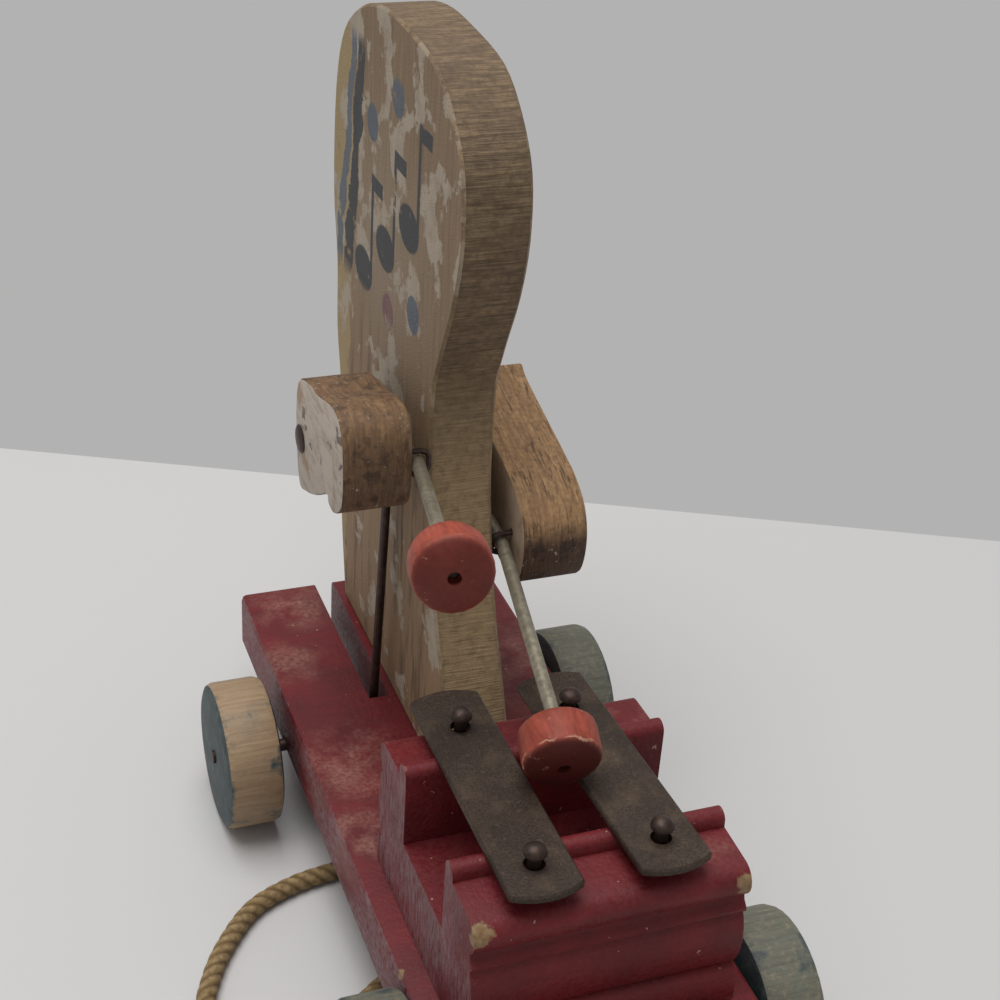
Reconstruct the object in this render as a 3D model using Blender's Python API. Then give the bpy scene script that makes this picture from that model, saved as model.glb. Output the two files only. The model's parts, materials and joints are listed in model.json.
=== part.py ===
"""Wooden pull toy that plays two tone bars.

A cut-out animal figure stands on a wheeled base. Its two arms hold mallets over a pair of steel bars.
Two wires link the arms to opposed cranks on the rear axle, so the arms beat in turn as the toy rolls.

Metres, +Z up, -Y is the front (the pulling end), +X is the toy's right hand side seen from the front camera.
All sizes below are laid out about the toy's mid plane; the parent empty then centres the toy on the origin.
"""
import math

import bmesh
import bpy
from mathutils import Matrix, Vector

# Base board
BASE_WIDTH = 0.083
BASE_FRONT = -0.112
BASE_REAR = 0.112
BASE_THICK = 0.019
BASE_CLEAR = 0.020
BASE_EDGE = 0.0018

# Slots that let the drive wires through the base, open at the rear
SLOT_INNER = 0.011
SLOT_WIDTH = 0.006
SLOT_END = 0.0472

# Wheels and axles
WHEEL_R = 0.022
WHEEL_THICK = 0.0164
WHEEL_EDGE = 0.0022
AXLE_R = 0.002
REAR_AXLE_Y = 0.0535
FRONT_AXLE_Y = -0.0797
FRONT_GAP_LEFT = 0.0010
FRONT_GAP_RIGHT = 0.0020
REAR_GAP_LEFT = 0.0050
REAR_GAP_RIGHT = 0.0008
AXLE_END = 0.0008
CRANK_THROW = 0.0030
CRANK_PIN_LENGTH = 0.005
CRANK_BEND = 0.0022

# Wire staples that hold the axles in their grooves
AXLE_STAPLE_INSET = 0.0125
AXLE_STAPLE_R = 0.0009
AXLE_STAPLE_SPREAD = 0.0084
AXLE_STAPLE_DEPTH = 0.009
AXLE_STAPLE_BEND = 0.0015

# Figure board
FIGURE_THICK = 0.018
FIGURE_EDGE = 0.0008
SHOULDER_Y = 0.0625
SHOULDER_Z = 0.122
SHOULDER_R = 0.002

# Arms; the pin sits loosely, so the gaps to the figure differ
ARM_THICK = 0.019
ARM_GAP_LEFT = 0.0062
ARM_GAP_RIGHT = 0.0066
ARM_EDGE = 0.0011
PIN_HEAD_R = 0.0042
PIN_HEAD_H = 0.0009
SPACER_WALL = 0.0022

# Drive wires
WIRE_R = 0.0013
WIRE_EYE_R = 0.0038
DRIVE_LEVER = 0.0144
DRIVE_SWING = 12.0
DRIVE_PIN_R = 0.0014
DRIVE_PIN_DEPTH = 0.010
DRIVE_PIN_PROUD = 0.0010

# Mallets
ROD_R = 0.0019
ROD_BEND = 0.0012
ROD_NECK = 0.004
ROD_TAIL = 0.012
ROD_SHORT = 0.0035
HEAD_R = 0.0099
HEAD_LENGTH = 0.0108
HEAD_ROUND = 0.0020
HEAD_DOME = 0.0014
HEAD_HOLE_R = 0.0017
STAPLE_R = 0.0008
STAPLE_SPREAD = 0.0062
STAPLE_DEPTH = 0.007

# Tone bars on their moulded stand
STAND_WIDTH = 0.0695
STAND_Y = -0.0569
STAND_FLOOR = 0.0225
STAND_FLAT = 0.0415
NOSE_R = 0.0045
SWELL_R = 0.018
SWELL_HEIGHT = 0.0194
VALLEY_HALF = 0.0153
BEAD_R = 0.0026
RIDGE_OUT = 0.0366
BAR_WIDTH = 0.0185
BAR_LENGTH = 0.079
BAR_SHIFT = 0.0023
BAR_THICK = 0.0022
BAR_EDGE = 0.0005
BAR_X_LEFT = -0.0172
BAR_X_RIGHT = 0.0135
BAR_TURN_LEFT = 0.0
BAR_TURN_RIGHT = 2.5
BAR_END_RISE = 0.0025
BAR_HOLE_R = 0.0026
NAIL_SPAN = 0.0522
NAIL_R = 0.0016
NAIL_HEAD_R = 0.0029
NAIL_HEAD_H = 0.0020
NAIL_RIM = 0.0004
NAIL_PROUD = 0.0036
NAIL_DEPTH = 0.014

# Screws driven up through the base
SCREW_R = 0.0018
SCREW_HEAD_R = 0.0036
SCREW_HEAD_H = 0.0020
SCREW_BITE = 0.012
FIGURE_SCREW_Y = (0.022, 0.084)
STAND_SCREW_X = 0.020

# Tow eye and pull cord
EYE_R = 0.0058
EYE_WIRE_R = 0.0012
EYE_SHANK = 0.012
CORD_R = 0.0027
KNOT_R = 0.0062

# Running and resting clearances
GAP = 0.0003
RUN = 0.00012

# Heights and places that follow
BASE_TOP = BASE_CLEAR + BASE_THICK
AXLE_Z = WHEEL_R
SLOT_X = SLOT_INNER + SLOT_WIDTH / 2
AXLE_STAPLE_X = BASE_WIDTH / 2 - AXLE_STAPLE_INSET
ARM_GAPS = {-1: ARM_GAP_LEFT, 1: ARM_GAP_RIGHT}
ARM_INNER = {side: FIGURE_THICK / 2 + gap for side, gap in ARM_GAPS.items()}
ARM_OUTER = {side: inner + ARM_THICK for side, inner in ARM_INNER.items()}
STAND_FOOT = BASE_TOP + GAP
BEAD_U = VALLEY_HALF + BEAD_R
BEAD_TOP = STAND_FLAT + 2 * BEAD_R - 0.0012
BAR_BOTTOM = STAND_FOOT + BEAD_TOP + GAP
BAR_TOP = BAR_BOTTOM + BAR_THICK
WHEEL_OUT_LEFT = BASE_WIDTH / 2 + REAR_GAP_LEFT + WHEEL_THICK
WHEEL_OUT_RIGHT = BASE_WIDTH / 2 + max(REAR_GAP_RIGHT, FRONT_GAP_RIGHT) + WHEEL_THICK

# Figure outline, seen from the toy's left: (y, height above the base), clockwise from the front foot
FIGURE_OUTLINE = (
    (-0.0070, 0.0000), (0.0045, 0.0270), (0.0153, 0.0492), (0.0240, 0.0790), (0.0254, 0.1100),
    (0.0212, 0.1240), (0.0127, 0.1430), (0.0087, 0.1600), (0.0105, 0.1770), (0.0200, 0.1890),
    (0.0340, 0.1970), (0.0560, 0.1993), (0.0760, 0.1990), (0.0960, 0.1940), (0.1130, 0.1830),
    (0.1210, 0.1640), (0.1222, 0.1330), (0.1175, 0.1120), (0.1165, 0.0900), (0.1115, 0.0700),
    (0.1090, 0.0300), (0.1030, 0.0000),
)
FIGURE_REAR = max(y for y, z in FIGURE_OUTLINE)

# Arm outlines at rest, as (y, z) about the shoulder pin: the left arm is raised, the right one is down
ARM_OUTLINE_LEFT = (
    (0.0021, -0.0154), (0.0058, -0.0020), (0.0041, 0.0157), (-0.0089, 0.0214), (-0.0164, 0.0221),
    (-0.0320, 0.0262), (-0.0398, 0.0226), (-0.0421, 0.0120), (-0.0411, 0.0016), (-0.0342, -0.0044),
    (-0.0288, -0.0046), (-0.0266, -0.0029), (-0.0143, -0.0102), (-0.0049, -0.0144),
)
ARM_OUTLINE_RIGHT = (
    (0.0072, -0.0199), (0.0120, -0.0050), (0.0122, 0.0050), (0.0092, 0.0112), (0.0028, 0.0084),
    (-0.0264, 0.0014), (-0.0363, -0.0014), (-0.0438, -0.0061), (-0.0473, -0.0130), (-0.0474, -0.0204),
    (-0.0453, -0.0267), (-0.0411, -0.0300), (-0.0335, -0.0303), (-0.0105, -0.0250),
)

# Mallets: where each rod lies in its staple, where its head is, and how far the head is bent down (degrees)
MALLET_STAPLE_LEFT = (-0.0129, 0.0232, 0.1333)
MALLET_HEAD_LEFT = (-0.0265, -0.0431, 0.1444)
MALLET_TILT_LEFT = 0.0
MALLET_STAPLE_RIGHT = (0.0130, 0.0245, 0.1034)
MALLET_HEAD_RIGHT = (-0.0013, -0.0565, 0.0974)
MALLET_TILT_RIGHT = 12.5

# Pull cord: down through the tow eye, back under the base, out at the left in a loop and under again
CORD_ROUTE = (
    (0.0004, -0.1202, 0.0190), (0.0020, -0.1194, 0.0110),
    (0.0052, -0.1150, 0.0052), (0.0100, -0.1060, 0.0029), (0.0160, -0.0900, 0.0028),
    (0.0205, -0.0700, 0.0028), (0.0225, -0.0480, 0.0028), (0.0215, -0.0260, 0.0028),
    (0.0160, -0.0060, 0.0028), (0.0060, 0.0085, 0.0028), (-0.0080, 0.0160, 0.0028),
    (-0.0230, 0.0180, 0.0028), (-0.0360, 0.0160, 0.0028), (-0.0490, 0.0136, 0.0028),
    (-0.0620, 0.0076, 0.0028), (-0.0720, -0.0034, 0.0028), (-0.0790, -0.0150, 0.0028),
    (-0.0835, -0.0280, 0.0028), (-0.0810, -0.0420, 0.0028), (-0.0710, -0.0505, 0.0028),
    (-0.0580, -0.0480, 0.0028), (-0.0470, -0.0395, 0.0028), (-0.0360, -0.0314, 0.0028),
    (-0.0240, -0.0250, 0.0028), (-0.0110, -0.0220, 0.0028),
)

PAINT_RED = (0.20, 0.022, 0.028)
WOOD = (0.33, 0.20, 0.11)
WHEEL_TEAL = (0.16, 0.24, 0.24)
STEEL = (0.10, 0.085, 0.07)
IRON = (0.04, 0.035, 0.035)
ROD_GREY = (0.25, 0.25, 0.23)
MALLET_RED = (0.42, 0.08, 0.055)
JUTE = (0.32, 0.21, 0.09)
SIDES = 24


def clear_scene():
    for obj in list(bpy.data.objects):
        bpy.data.objects.remove(obj, do_unlink=True)


def finish(name, colour, roughness, metallic):
    material = bpy.data.materials.new(name)
    material.use_nodes = True
    shader = material.node_tree.nodes["Principled BSDF"]
    shader.inputs["Base Color"].default_value = (*colour, 1.0)
    shader.inputs["Roughness"].default_value = roughness
    shader.inputs["Metallic"].default_value = metallic
    return material


def link(obj, parent=None):
    bpy.context.scene.collection.objects.link(obj)
    obj.parent = parent
    return obj


def axis_empty(name, location, parent=None):
    empty = bpy.data.objects.new(name, None)
    empty.location = location
    return link(empty, parent)


def mesh_object(name, mesh_bm, parent, material=None):
    bmesh.ops.recalc_face_normals(mesh_bm, faces=mesh_bm.faces)
    mesh = bpy.data.meshes.new(name)
    mesh_bm.to_mesh(mesh)
    mesh_bm.free()
    if material:
        mesh.materials.append(material)
        mesh.shade_smooth()
        mesh.set_sharp_from_angle(angle=math.radians(35))
    return link(bpy.data.objects.new(name, mesh), parent)


def cutter(name, mesh_bm, parent):
    obj = mesh_object(name, mesh_bm, parent)
    obj.hide_render = True
    obj.display_type = "WIRE"
    return obj


def cut(obj, tool, operation="DIFFERENCE"):
    change = obj.modifiers.new(tool.name, "BOOLEAN")
    change.operation = operation
    change.solver = "EXACT"
    change.object = tool


def ease_edges(obj, width, segments=2):
    bevel = obj.modifiers.new("eased edges", "BEVEL")
    bevel.width = width
    bevel.segments = segments
    bevel.limit_method = "ANGLE"
    bevel.angle_limit = math.radians(40)


def box(low, high):
    shape = bmesh.new()
    bmesh.ops.create_cube(shape, size=1.0)
    size = Vector(high) - Vector(low)
    middle = (Vector(high) + Vector(low)) / 2
    bmesh.ops.scale(shape, vec=size, verts=shape.verts)
    bmesh.ops.translate(shape, vec=middle, verts=shape.verts)
    return shape


def prism(outline, x_low, x_high):
    """Extrude a closed (y, z) outline along X."""
    shape = bmesh.new()
    ring = [shape.verts.new((x_low, y, z)) for y, z in outline]
    side = shape.faces.new(ring)
    moved = bmesh.ops.extrude_face_region(shape, geom=[side])
    far = [item for item in moved["geom"] if isinstance(item, bmesh.types.BMVert)]
    bmesh.ops.translate(shape, vec=(x_high - x_low, 0, 0), verts=far)
    return shape


def turned(profile, sides=SIDES):
    """Turn a (radius, height) profile about Z; a profile that starts and ends on the axis is closed there."""
    shape = bmesh.new()
    rings = []
    for radius, height in profile:
        if radius < 1e-7:
            rings.append([shape.verts.new((0, 0, height))])
            continue
        turn = [2 * math.pi * step / sides for step in range(sides)]
        rings.append([shape.verts.new((radius * math.cos(a), radius * math.sin(a), height)) for a in turn])
    closed = len(rings[0]) > 1
    pairs = list(zip(rings, rings[1:] + rings[:1] if closed else rings[1:]))
    for lower, upper in pairs:
        for step in range(sides):
            after = (step + 1) % sides
            corners = [lower[step % len(lower)], lower[after % len(lower)],
                       upper[after % len(upper)], upper[step % len(upper)]]
            shape.faces.new(list(dict.fromkeys(corners)))
    return shape


def rod(radius, start, end, sides=SIDES):
    """A plain round bar between two points."""
    start = Vector(start)
    along = Vector(end) - start
    shape = turned([(0, 0), (radius, 0), (radius, along.length), (0, along.length)], sides)
    place(shape, start, along)
    return shape


def place(shape, location, direction):
    """Turn a shape made along Z into a direction and move it."""
    spin = Vector(direction).to_track_quat("Z", "Y").to_matrix().to_4x4()
    bmesh.ops.transform(shape, matrix=Matrix.Translation(location) @ spin, verts=shape.verts)


def add_shape(target, extra):
    """Put the faces of one shape into another as a separate body."""
    spare = bpy.data.meshes.new("spare")
    extra.to_mesh(spare)
    extra.free()
    target.from_mesh(spare)
    bpy.data.meshes.remove(spare)
    return target


def smooth_path(points, steps):
    """Points on a smooth curve through the given points."""
    points = [Vector(point) for point in points]
    padded = [2 * points[0] - points[1]] + points + [2 * points[-1] - points[-2]]
    path = []
    for before, start, end, after in zip(padded, padded[1:], padded[2:], padded[3:]):
        for step in range(steps):
            t = step / steps
            path.append(0.5 * (2 * start + (end - before) * t
                               + (2 * before - 5 * start + 4 * end - after) * t ** 2
                               + (3 * start - before - 3 * end + after) * t ** 3))
    return path + [points[-1]]


def tube(name, points, radius, resolution, parent, material):
    """A round tube with filled ends along a run of points."""
    data = bpy.data.curves.new(name, "CURVE")
    data.dimensions = "3D"
    data.bevel_depth = radius
    data.bevel_resolution = resolution
    data.use_fill_caps = True
    spline = data.splines.new("POLY")
    spline.points.add(len(points) - 1)
    for slot, point in zip(spline.points, points):
        slot.co = (*point, 1.0)
    data.materials.append(material)
    return link(bpy.data.objects.new(name, data), parent)


def smooth_outline(points, steps):
    """A closed outline: straight along its foot, smooth elsewhere."""
    return [(point.y, point.z) for point in smooth_path([(0, y, z) for y, z in points], steps)]


def arc(centre, radius, start, end, steps):
    angles = [math.radians(start + (end - start) * step / steps) for step in range(steps + 1)]
    return [(centre[0] + radius * math.cos(a), centre[1] + radius * math.sin(a)) for a in angles]


def make_base(toy):
    half = BASE_WIDTH / 2
    base = mesh_object("base_board", box((-half, BASE_FRONT, BASE_CLEAR), (half, BASE_REAR, BASE_TOP)), toy,
                       finish("red paint, base", PAINT_RED, 0.45, 0.0))
    ease_edges(base, BASE_EDGE)
    reach = BASE_THICK
    relief = CRANK_THROW + WIRE_EYE_R + WIRE_R + 2 * GAP
    for side, word in ((-1, "left"), (1, "right")):
        inner, outer = sorted((side * SLOT_INNER, side * (SLOT_INNER + SLOT_WIDTH)))
        slot = box((inner, SLOT_END, BASE_CLEAR - reach), (outer, BASE_REAR + reach, BASE_TOP + reach))
        cut(base, cutter("slot_cut_" + word, slot, toy))
        wide = CRANK_PIN_LENGTH / 2 + CRANK_BEND + AXLE_R + GAP
        pocket = box((side * SLOT_X - wide, REAR_AXLE_Y - relief, BASE_CLEAR - reach),
                     (side * SLOT_X + wide, REAR_AXLE_Y + relief, AXLE_Z + relief))
        cut(base, cutter("crank_relief_" + word, pocket, toy))
    for y, word in ((REAR_AXLE_Y, "rear"), (FRONT_AXLE_Y, "front")):
        room = AXLE_R + GAP
        groove = box((-half - reach, y - room, BASE_CLEAR - reach), (half + reach, y + room, AXLE_Z + room))
        cut(base, cutter("axle_groove_" + word, groove, toy))
        holes = bmesh.new()
        for x in (-AXLE_STAPLE_X, AXLE_STAPLE_X):
            for leg_y in (y - AXLE_STAPLE_SPREAD / 2, y + AXLE_STAPLE_SPREAD / 2):
                top = BASE_CLEAR + AXLE_STAPLE_DEPTH + GAP
                low = BASE_CLEAR - reach
                add_shape(holes, rod(AXLE_STAPLE_R + GAP, (x, leg_y, low), (x, leg_y, top), 10))
        cut(base, cutter("axle_staple_holes_" + word, holes, toy))
    holes = bmesh.new()
    for x, y in screw_places():
        add_shape(holes, rod(SCREW_R + GAP, (x, y, BASE_CLEAR - reach), (x, y, BASE_TOP + reach), 12))
    cut(base, cutter("screw_holes_base", holes, toy))
    sinks = bmesh.new()
    for x, y in screw_places():
        depth = SCREW_HEAD_H + 2 * GAP
        add_shape(sinks, rod(SCREW_HEAD_R + GAP, (x, y, BASE_CLEAR - reach), (x, y, BASE_CLEAR + depth), 16))
    cut(base, cutter("screw_sinks", sinks, toy))
    shank = rod(EYE_WIRE_R + GAP, (0, BASE_FRONT - reach, eye_height()),
                (0, BASE_FRONT + EYE_SHANK + GAP, eye_height()), 12)
    cut(base, cutter("tow_eye_hole", shank, toy))


def screw_places():
    figure = [(0.0, y) for y in FIGURE_SCREW_Y]
    stand = [(x, STAND_Y) for x in (-STAND_SCREW_X, STAND_SCREW_X)]
    return figure + stand


def eye_height():
    return BASE_CLEAR + BASE_THICK / 2


def eye_centre():
    return Vector((0, BASE_FRONT - EYE_R - 2 * EYE_WIRE_R, eye_height()))


def staple_path(middle, across, into, spread, depth, bend):
    """Points of a U of wire: its crown is at the middle, its legs run into the wood."""
    path = []
    for hand in (-1, 1):
        leg = across * (hand * spread)
        shoulder = middle + leg + into * bend
        corner = middle + across * (hand * (spread - bend))
        half_way = (shoulder + corner) / 2 + (across * hand - into) * bend * 0.2
        run = [middle + leg + into * depth, shoulder, half_way, corner]
        path += run if hand < 0 else run[::-1]
    return path


def make_axle_staples(toy):
    iron = finish("axle staple wire", IRON, 0.5, 1.0)
    crown = AXLE_Z - AXLE_R - AXLE_STAPLE_R - RUN
    depth = BASE_CLEAR + AXLE_STAPLE_DEPTH - crown
    for axle_y, word in ((REAR_AXLE_Y, "rear"), (FRONT_AXLE_Y, "front")):
        for side, hand in ((-1, "left"), (1, "right")):
            middle = Vector((side * AXLE_STAPLE_X, axle_y, crown))
            spread = AXLE_STAPLE_SPREAD / 2
            path = staple_path(middle, Vector((0, 1, 0)), Vector((0, 0, 1)), spread, depth, AXLE_STAPLE_BEND)
            tube("axle_staple_" + word + "_" + hand, path, AXLE_STAPLE_R, 1, toy, iron)


def make_wheel(name, inner_x, parent, side):
    teal = finish("worn teal paint, " + name, WHEEL_TEAL, 0.6, 0.0)
    bore = AXLE_R + RUN
    e = WHEEL_EDGE
    rim = arc((WHEEL_R - e, e), e, -90, 0, 2) + arc((WHEEL_R - e, WHEEL_THICK - e), e, 0, 90, 2)
    wheel = turned([(bore, 0)] + rim + [(bore, WHEEL_THICK)], 36)
    place(wheel, (inner_x, 0, 0), (side, 0, 0))
    mesh_object(name, wheel, parent, teal)


def make_axles(rear_axis, front_axis):
    steel = finish("axle steel", IRON, 0.45, 1.0)
    half = BASE_WIDTH / 2
    front_gaps = {-1: FRONT_GAP_LEFT, 1: FRONT_GAP_RIGHT}
    rear_gaps = {-1: REAR_GAP_LEFT, 1: REAR_GAP_RIGHT}
    over = half + WHEEL_THICK + AXLE_END
    front = rod(AXLE_R, (-over - FRONT_GAP_LEFT, 0, 0), (over + FRONT_GAP_RIGHT, 0, 0), 16)
    mesh_object("front_axle", front, front_axis, steel)
    pin = CRANK_PIN_LENGTH / 2
    foot = pin + CRANK_BEND
    route = [(-over - REAR_GAP_LEFT, 0), (-SLOT_X - foot, 0), (-SLOT_X - pin, CRANK_THROW),
             (-SLOT_X + pin, CRANK_THROW), (-SLOT_X + foot, 0), (SLOT_X - foot, 0),
             (SLOT_X - pin, -CRANK_THROW), (SLOT_X + pin, -CRANK_THROW), (SLOT_X + foot, 0),
             (over + REAR_GAP_RIGHT, 0)]
    tube("crank_axle", [(x, 0, z) for x, z in route], AXLE_R, 3, rear_axis, steel)
    for side, word in ((-1, "left"), (1, "right")):
        make_wheel("wheel_front_" + word, side * (half + front_gaps[side]), front_axis, side)
        make_wheel("wheel_rear_" + word, side * (half + rear_gaps[side]), rear_axis, side)


def drive_point(side):
    """Where an arm's drive pin is, as (y, z) about the shoulder pin."""
    swing = math.radians(-side * DRIVE_SWING)
    return -DRIVE_LEVER * math.cos(swing), DRIVE_LEVER * math.sin(swing)


def wire_top_x(side):
    return side * (ARM_INNER[side] - DRIVE_PIN_PROUD - GAP - WIRE_R)


def make_wires(rear_axis):
    """Each wire has an eye round its crank pin and an eye beside the drive pin of its arm."""
    dark = finish("black drive wire", IRON, 0.55, 1.0)
    for side, word in ((-1, "left"), (1, "right")):
        crank = axis_empty("crank_pin_" + word, (side * SLOT_X, 0, -side * CRANK_THROW), rear_axis)
        pin_y, pin_z = drive_point(side)
        top = Vector((wire_top_x(side) - side * SLOT_X, SHOULDER_Y + pin_y - REAR_AXLE_Y,
                      SHOULDER_Z + pin_z - AXLE_Z + side * CRANK_THROW))
        along = top.normalized()
        wire = rod(WIRE_R, along * WIRE_EYE_R, top - along * WIRE_EYE_R, 12)
        wire = mesh_object("drive_wire_" + word, wire, crank, dark)
        for centre, place_word in ((Vector((0, 0, 0)), "foot"), (top, "top")):
            ring = [(WIRE_EYE_R + y, z) for y, z in arc((0, 0), WIRE_R * 0.98, 0, 315, 7)]
            eye = turned(ring, 20)
            place(eye, centre, (1, 0, 0))
            cut(wire, cutter("wire_eye_" + place_word + "_" + word, eye, crank), "UNION")


def make_figure(toy):
    outline = [(y, BASE_TOP + GAP + z) for y, z in smooth_outline(FIGURE_OUTLINE, 4)]
    half = FIGURE_THICK / 2
    pine = finish("bare pine", WOOD, 0.7, 0.0)
    figure = mesh_object("figure_board", prism(outline, -half, half), toy, pine)
    ease_edges(figure, FIGURE_EDGE, 1)
    hole = rod(SHOULDER_R + GAP, (-FIGURE_THICK, SHOULDER_Y, SHOULDER_Z),
               (FIGURE_THICK, SHOULDER_Y, SHOULDER_Z), 16)
    cut(figure, cutter("shoulder_hole_figure", hole, toy))
    pilot = bmesh.new()
    for y in FIGURE_SCREW_Y:
        tip = BASE_TOP + SCREW_BITE + 2 * GAP
        add_shape(pilot, rod(SCREW_R + GAP, (0, y, BASE_CLEAR), (0, y, tip), 12))
    cut(figure, cutter("screw_pilots_figure", pilot, toy))


def make_shoulder(toy):
    iron = finish("shoulder pin steel", IRON, 0.5, 1.0)
    dome = [(PIN_HEAD_R, 0), (PIN_HEAD_R * 0.85, PIN_HEAD_H * 0.6), (0, PIN_HEAD_H)]
    far, near = ARM_OUTER[1] + GAP, -ARM_OUTER[-1] - GAP
    right = [(radius, far + height) for radius, height in dome]
    left = [(radius, near - height) for radius, height in reversed(dome)]
    pin = turned(left + [(SHOULDER_R, near), (SHOULDER_R, far)] + right, 16)
    place(pin, (0, SHOULDER_Y, SHOULDER_Z), (1, 0, 0))
    mesh_object("shoulder_pin", pin, toy, iron)
    wood = finish("spacer wood", WOOD, 0.7, 0.0)
    bore = SHOULDER_R + GAP
    wall = bore + SPACER_WALL
    inner = FIGURE_THICK / 2 + GAP
    for side, word in ((-1, "left"), (1, "right")):
        outer = ARM_INNER[side] - GAP
        ring = turned([(bore, inner), (wall, inner), (wall, outer), (bore, outer)], 16)
        place(ring, (0, SHOULDER_Y, SHOULDER_Z), (side, 0, 0))
        mesh_object("shoulder_spacer_" + word, ring, toy, wood)


def closed_outline(points, steps):
    """A smooth closed curve through (y, z) points."""
    looped = [(0, y, z) for y, z in points[-2:] + points + points[:2]]
    path = smooth_path(looped, steps)
    return [(point.y, point.z) for point in path[2 * steps:-steps - 1]]


def make_arm(word, side, outline, axis):
    low, high = sorted((side * ARM_INNER[side], side * ARM_OUTER[side]))
    arm = mesh_object("arm_" + word, prism(closed_outline(outline, 4), low, high), axis,
                      finish("bare pine, arm " + word, WOOD, 0.7, 0.0))
    ease_edges(arm, ARM_EDGE)
    clear = ARM_GAPS[side]
    bore = rod(SHOULDER_R + RUN, (low - clear, 0, 0), (high + clear, 0, 0), 16)
    cut(arm, cutter("shoulder_bore_" + word, bore, axis))
    pin_y, pin_z = drive_point(side)
    face = side * ARM_INNER[side]
    deep = face + side * DRIVE_PIN_DEPTH
    hole = rod(DRIVE_PIN_R + RUN, (face - side * clear, pin_y, pin_z), (deep + side * GAP, pin_y, pin_z), 12)
    cut(arm, cutter("drive_pin_hole_" + word, hole, axis))
    proud = face - side * DRIVE_PIN_PROUD
    mesh_object("drive_pin_" + word, rod(DRIVE_PIN_R, (proud, pin_y, pin_z), (deep, pin_y, pin_z), 12), axis,
                finish("drive pin steel " + word, IRON, 0.5, 1.0))
    return arm


def make_mallet(word, staple, head, tilt, axis):
    """A rod that lies along the arm, leaves it at the staple and ends in a turned head."""
    along = (head - staple).normalized()
    level = Vector((0, 0, 1)).cross(along).normalized()
    aim = Matrix.Rotation(math.radians(tilt), 3, level) @ along
    back = Vector((0, -along.y, -along.z)).normalized()
    neck = head - aim * (HEAD_LENGTH / 2 + ROD_NECK)
    run = (neck - staple).normalized()
    route = [staple + back * ROD_TAIL, staple + back * ROD_BEND, staple + run * ROD_BEND,
             neck - run * ROD_BEND, neck + aim * ROD_BEND, head + aim * (HEAD_LENGTH / 2 - ROD_SHORT)]
    tube("mallet_rod_" + word, route, ROD_R, 3, axis, finish("grey rod " + word, ROD_GREY, 0.5, 1.0))
    bore = ROD_R + RUN
    stop = HEAD_LENGTH - ROD_SHORT + GAP
    r = HEAD_ROUND
    back_rim = arc((HEAD_R - r, r), r, -90, 0, 3)
    front_rim = arc((HEAD_R - r, HEAD_LENGTH - r), r, 0, 70, 3)
    hole = HEAD_HOLE_R
    dome = HEAD_LENGTH + HEAD_DOME
    front = [(HEAD_R * 0.5, HEAD_LENGTH + HEAD_DOME * 0.75), (hole, dome), (hole, stop), (bore, stop)]
    knob = turned([(bore, 0)] + back_rim + front_rim + front)
    place(knob, head - aim * HEAD_LENGTH / 2, aim)
    mesh_object("mallet_head_" + word, knob, axis, finish("mallet red " + word, MALLET_RED, 0.45, 0.0))


def make_staple(word, side, staple, along, arm, axis):
    """A wire staple clasps the rod against the inner face of the arm."""
    dark = finish("staple wire " + word, IRON, 0.55, 1.0)
    across = Vector((1, 0, 0)).cross(along).normalized()
    clear = ROD_R + STAPLE_R + GAP
    spread = max(STAPLE_SPREAD / 2, clear)
    deep = side * (ARM_INNER[side] + STAPLE_DEPTH)
    crown = Vector((staple.x - side * clear, staple.y, staple.z))
    path = staple_path(crown, across, Vector((side, 0, 0)), spread, abs(deep - crown.x), 0.6 * spread)
    tube("mallet_staple_" + word, path, STAPLE_R, 1, axis, dark)
    holes = bmesh.new()
    for hand in (-1, 1):
        leg = across * (hand * spread)
        start = Vector((side * FIGURE_THICK / 2, staple.y + leg.y, staple.z + leg.z))
        stop = Vector((deep + side * GAP, start.y, start.z))
        add_shape(holes, rod(STAPLE_R + GAP, start, stop, 10))
    cut(arm, cutter("staple_holes_" + word, holes, axis))


def ridge_half():
    """Outer side of one ridge, as (distance from the stand's middle, height), from valley to foot."""
    bead = arc((BEAD_U, STAND_FLAT + BEAD_R - 0.0012), BEAD_R, 180, 20, 6)
    out = RIDGE_OUT
    nose = arc((out - NOSE_R, STAND_FLAT - 0.0050), NOSE_R, 80, -40, 6)
    fillet = [(out - 0.0026, STAND_FLAT - 0.0094), (out - 0.0022, STAND_FLAT - 0.0108)]
    fillet += [(out - 0.0006, STAND_FLAT - 0.0123), (out - 0.0007, STAND_FLAT - 0.0132)]
    fillet += [(out - 0.0020, STAND_FLAT - 0.0143)]
    swell = arc((out - SWELL_R, SWELL_HEIGHT), SWELL_R, 20, -28, 6)
    foot = [(out - 0.0034, 0.0100), (out - 0.0010, 0.0090), (out, 0.0076), (out, 0.0)]
    wall = [(VALLEY_HALF, STAND_FLOOR)]
    return wall + bead + [(BEAD_U + BEAD_R, STAND_FLAT)] + nose + fillet + swell + foot


def make_stand(toy):
    front = ridge_half()
    outline = [(STAND_Y + u, STAND_FOOT + h) for u, h in front]
    outline += [(STAND_Y - u, STAND_FOOT + h) for u, h in reversed(front)]
    half = STAND_WIDTH / 2
    stand = mesh_object("bar_stand", prism(outline, -half, half), toy,
                        finish("red paint, stand", PAINT_RED, 0.45, 0.0))
    holes = bmesh.new()
    for x, y in nail_places():
        deep = BAR_TOP + NAIL_PROUD - NAIL_DEPTH
        add_shape(holes, rod(NAIL_R + GAP, (x, y, deep), (x, y, BAR_TOP), 12))
    cut(stand, cutter("nail_holes_stand", holes, toy))
    pilot = bmesh.new()
    for x in (-STAND_SCREW_X, STAND_SCREW_X):
        add_shape(pilot, rod(SCREW_R + GAP, (x, STAND_Y, BASE_CLEAR),
                             (x, STAND_Y, BASE_TOP + SCREW_BITE + 2 * GAP), 12))
    cut(stand, cutter("screw_pilots_stand", pilot, toy))


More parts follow.
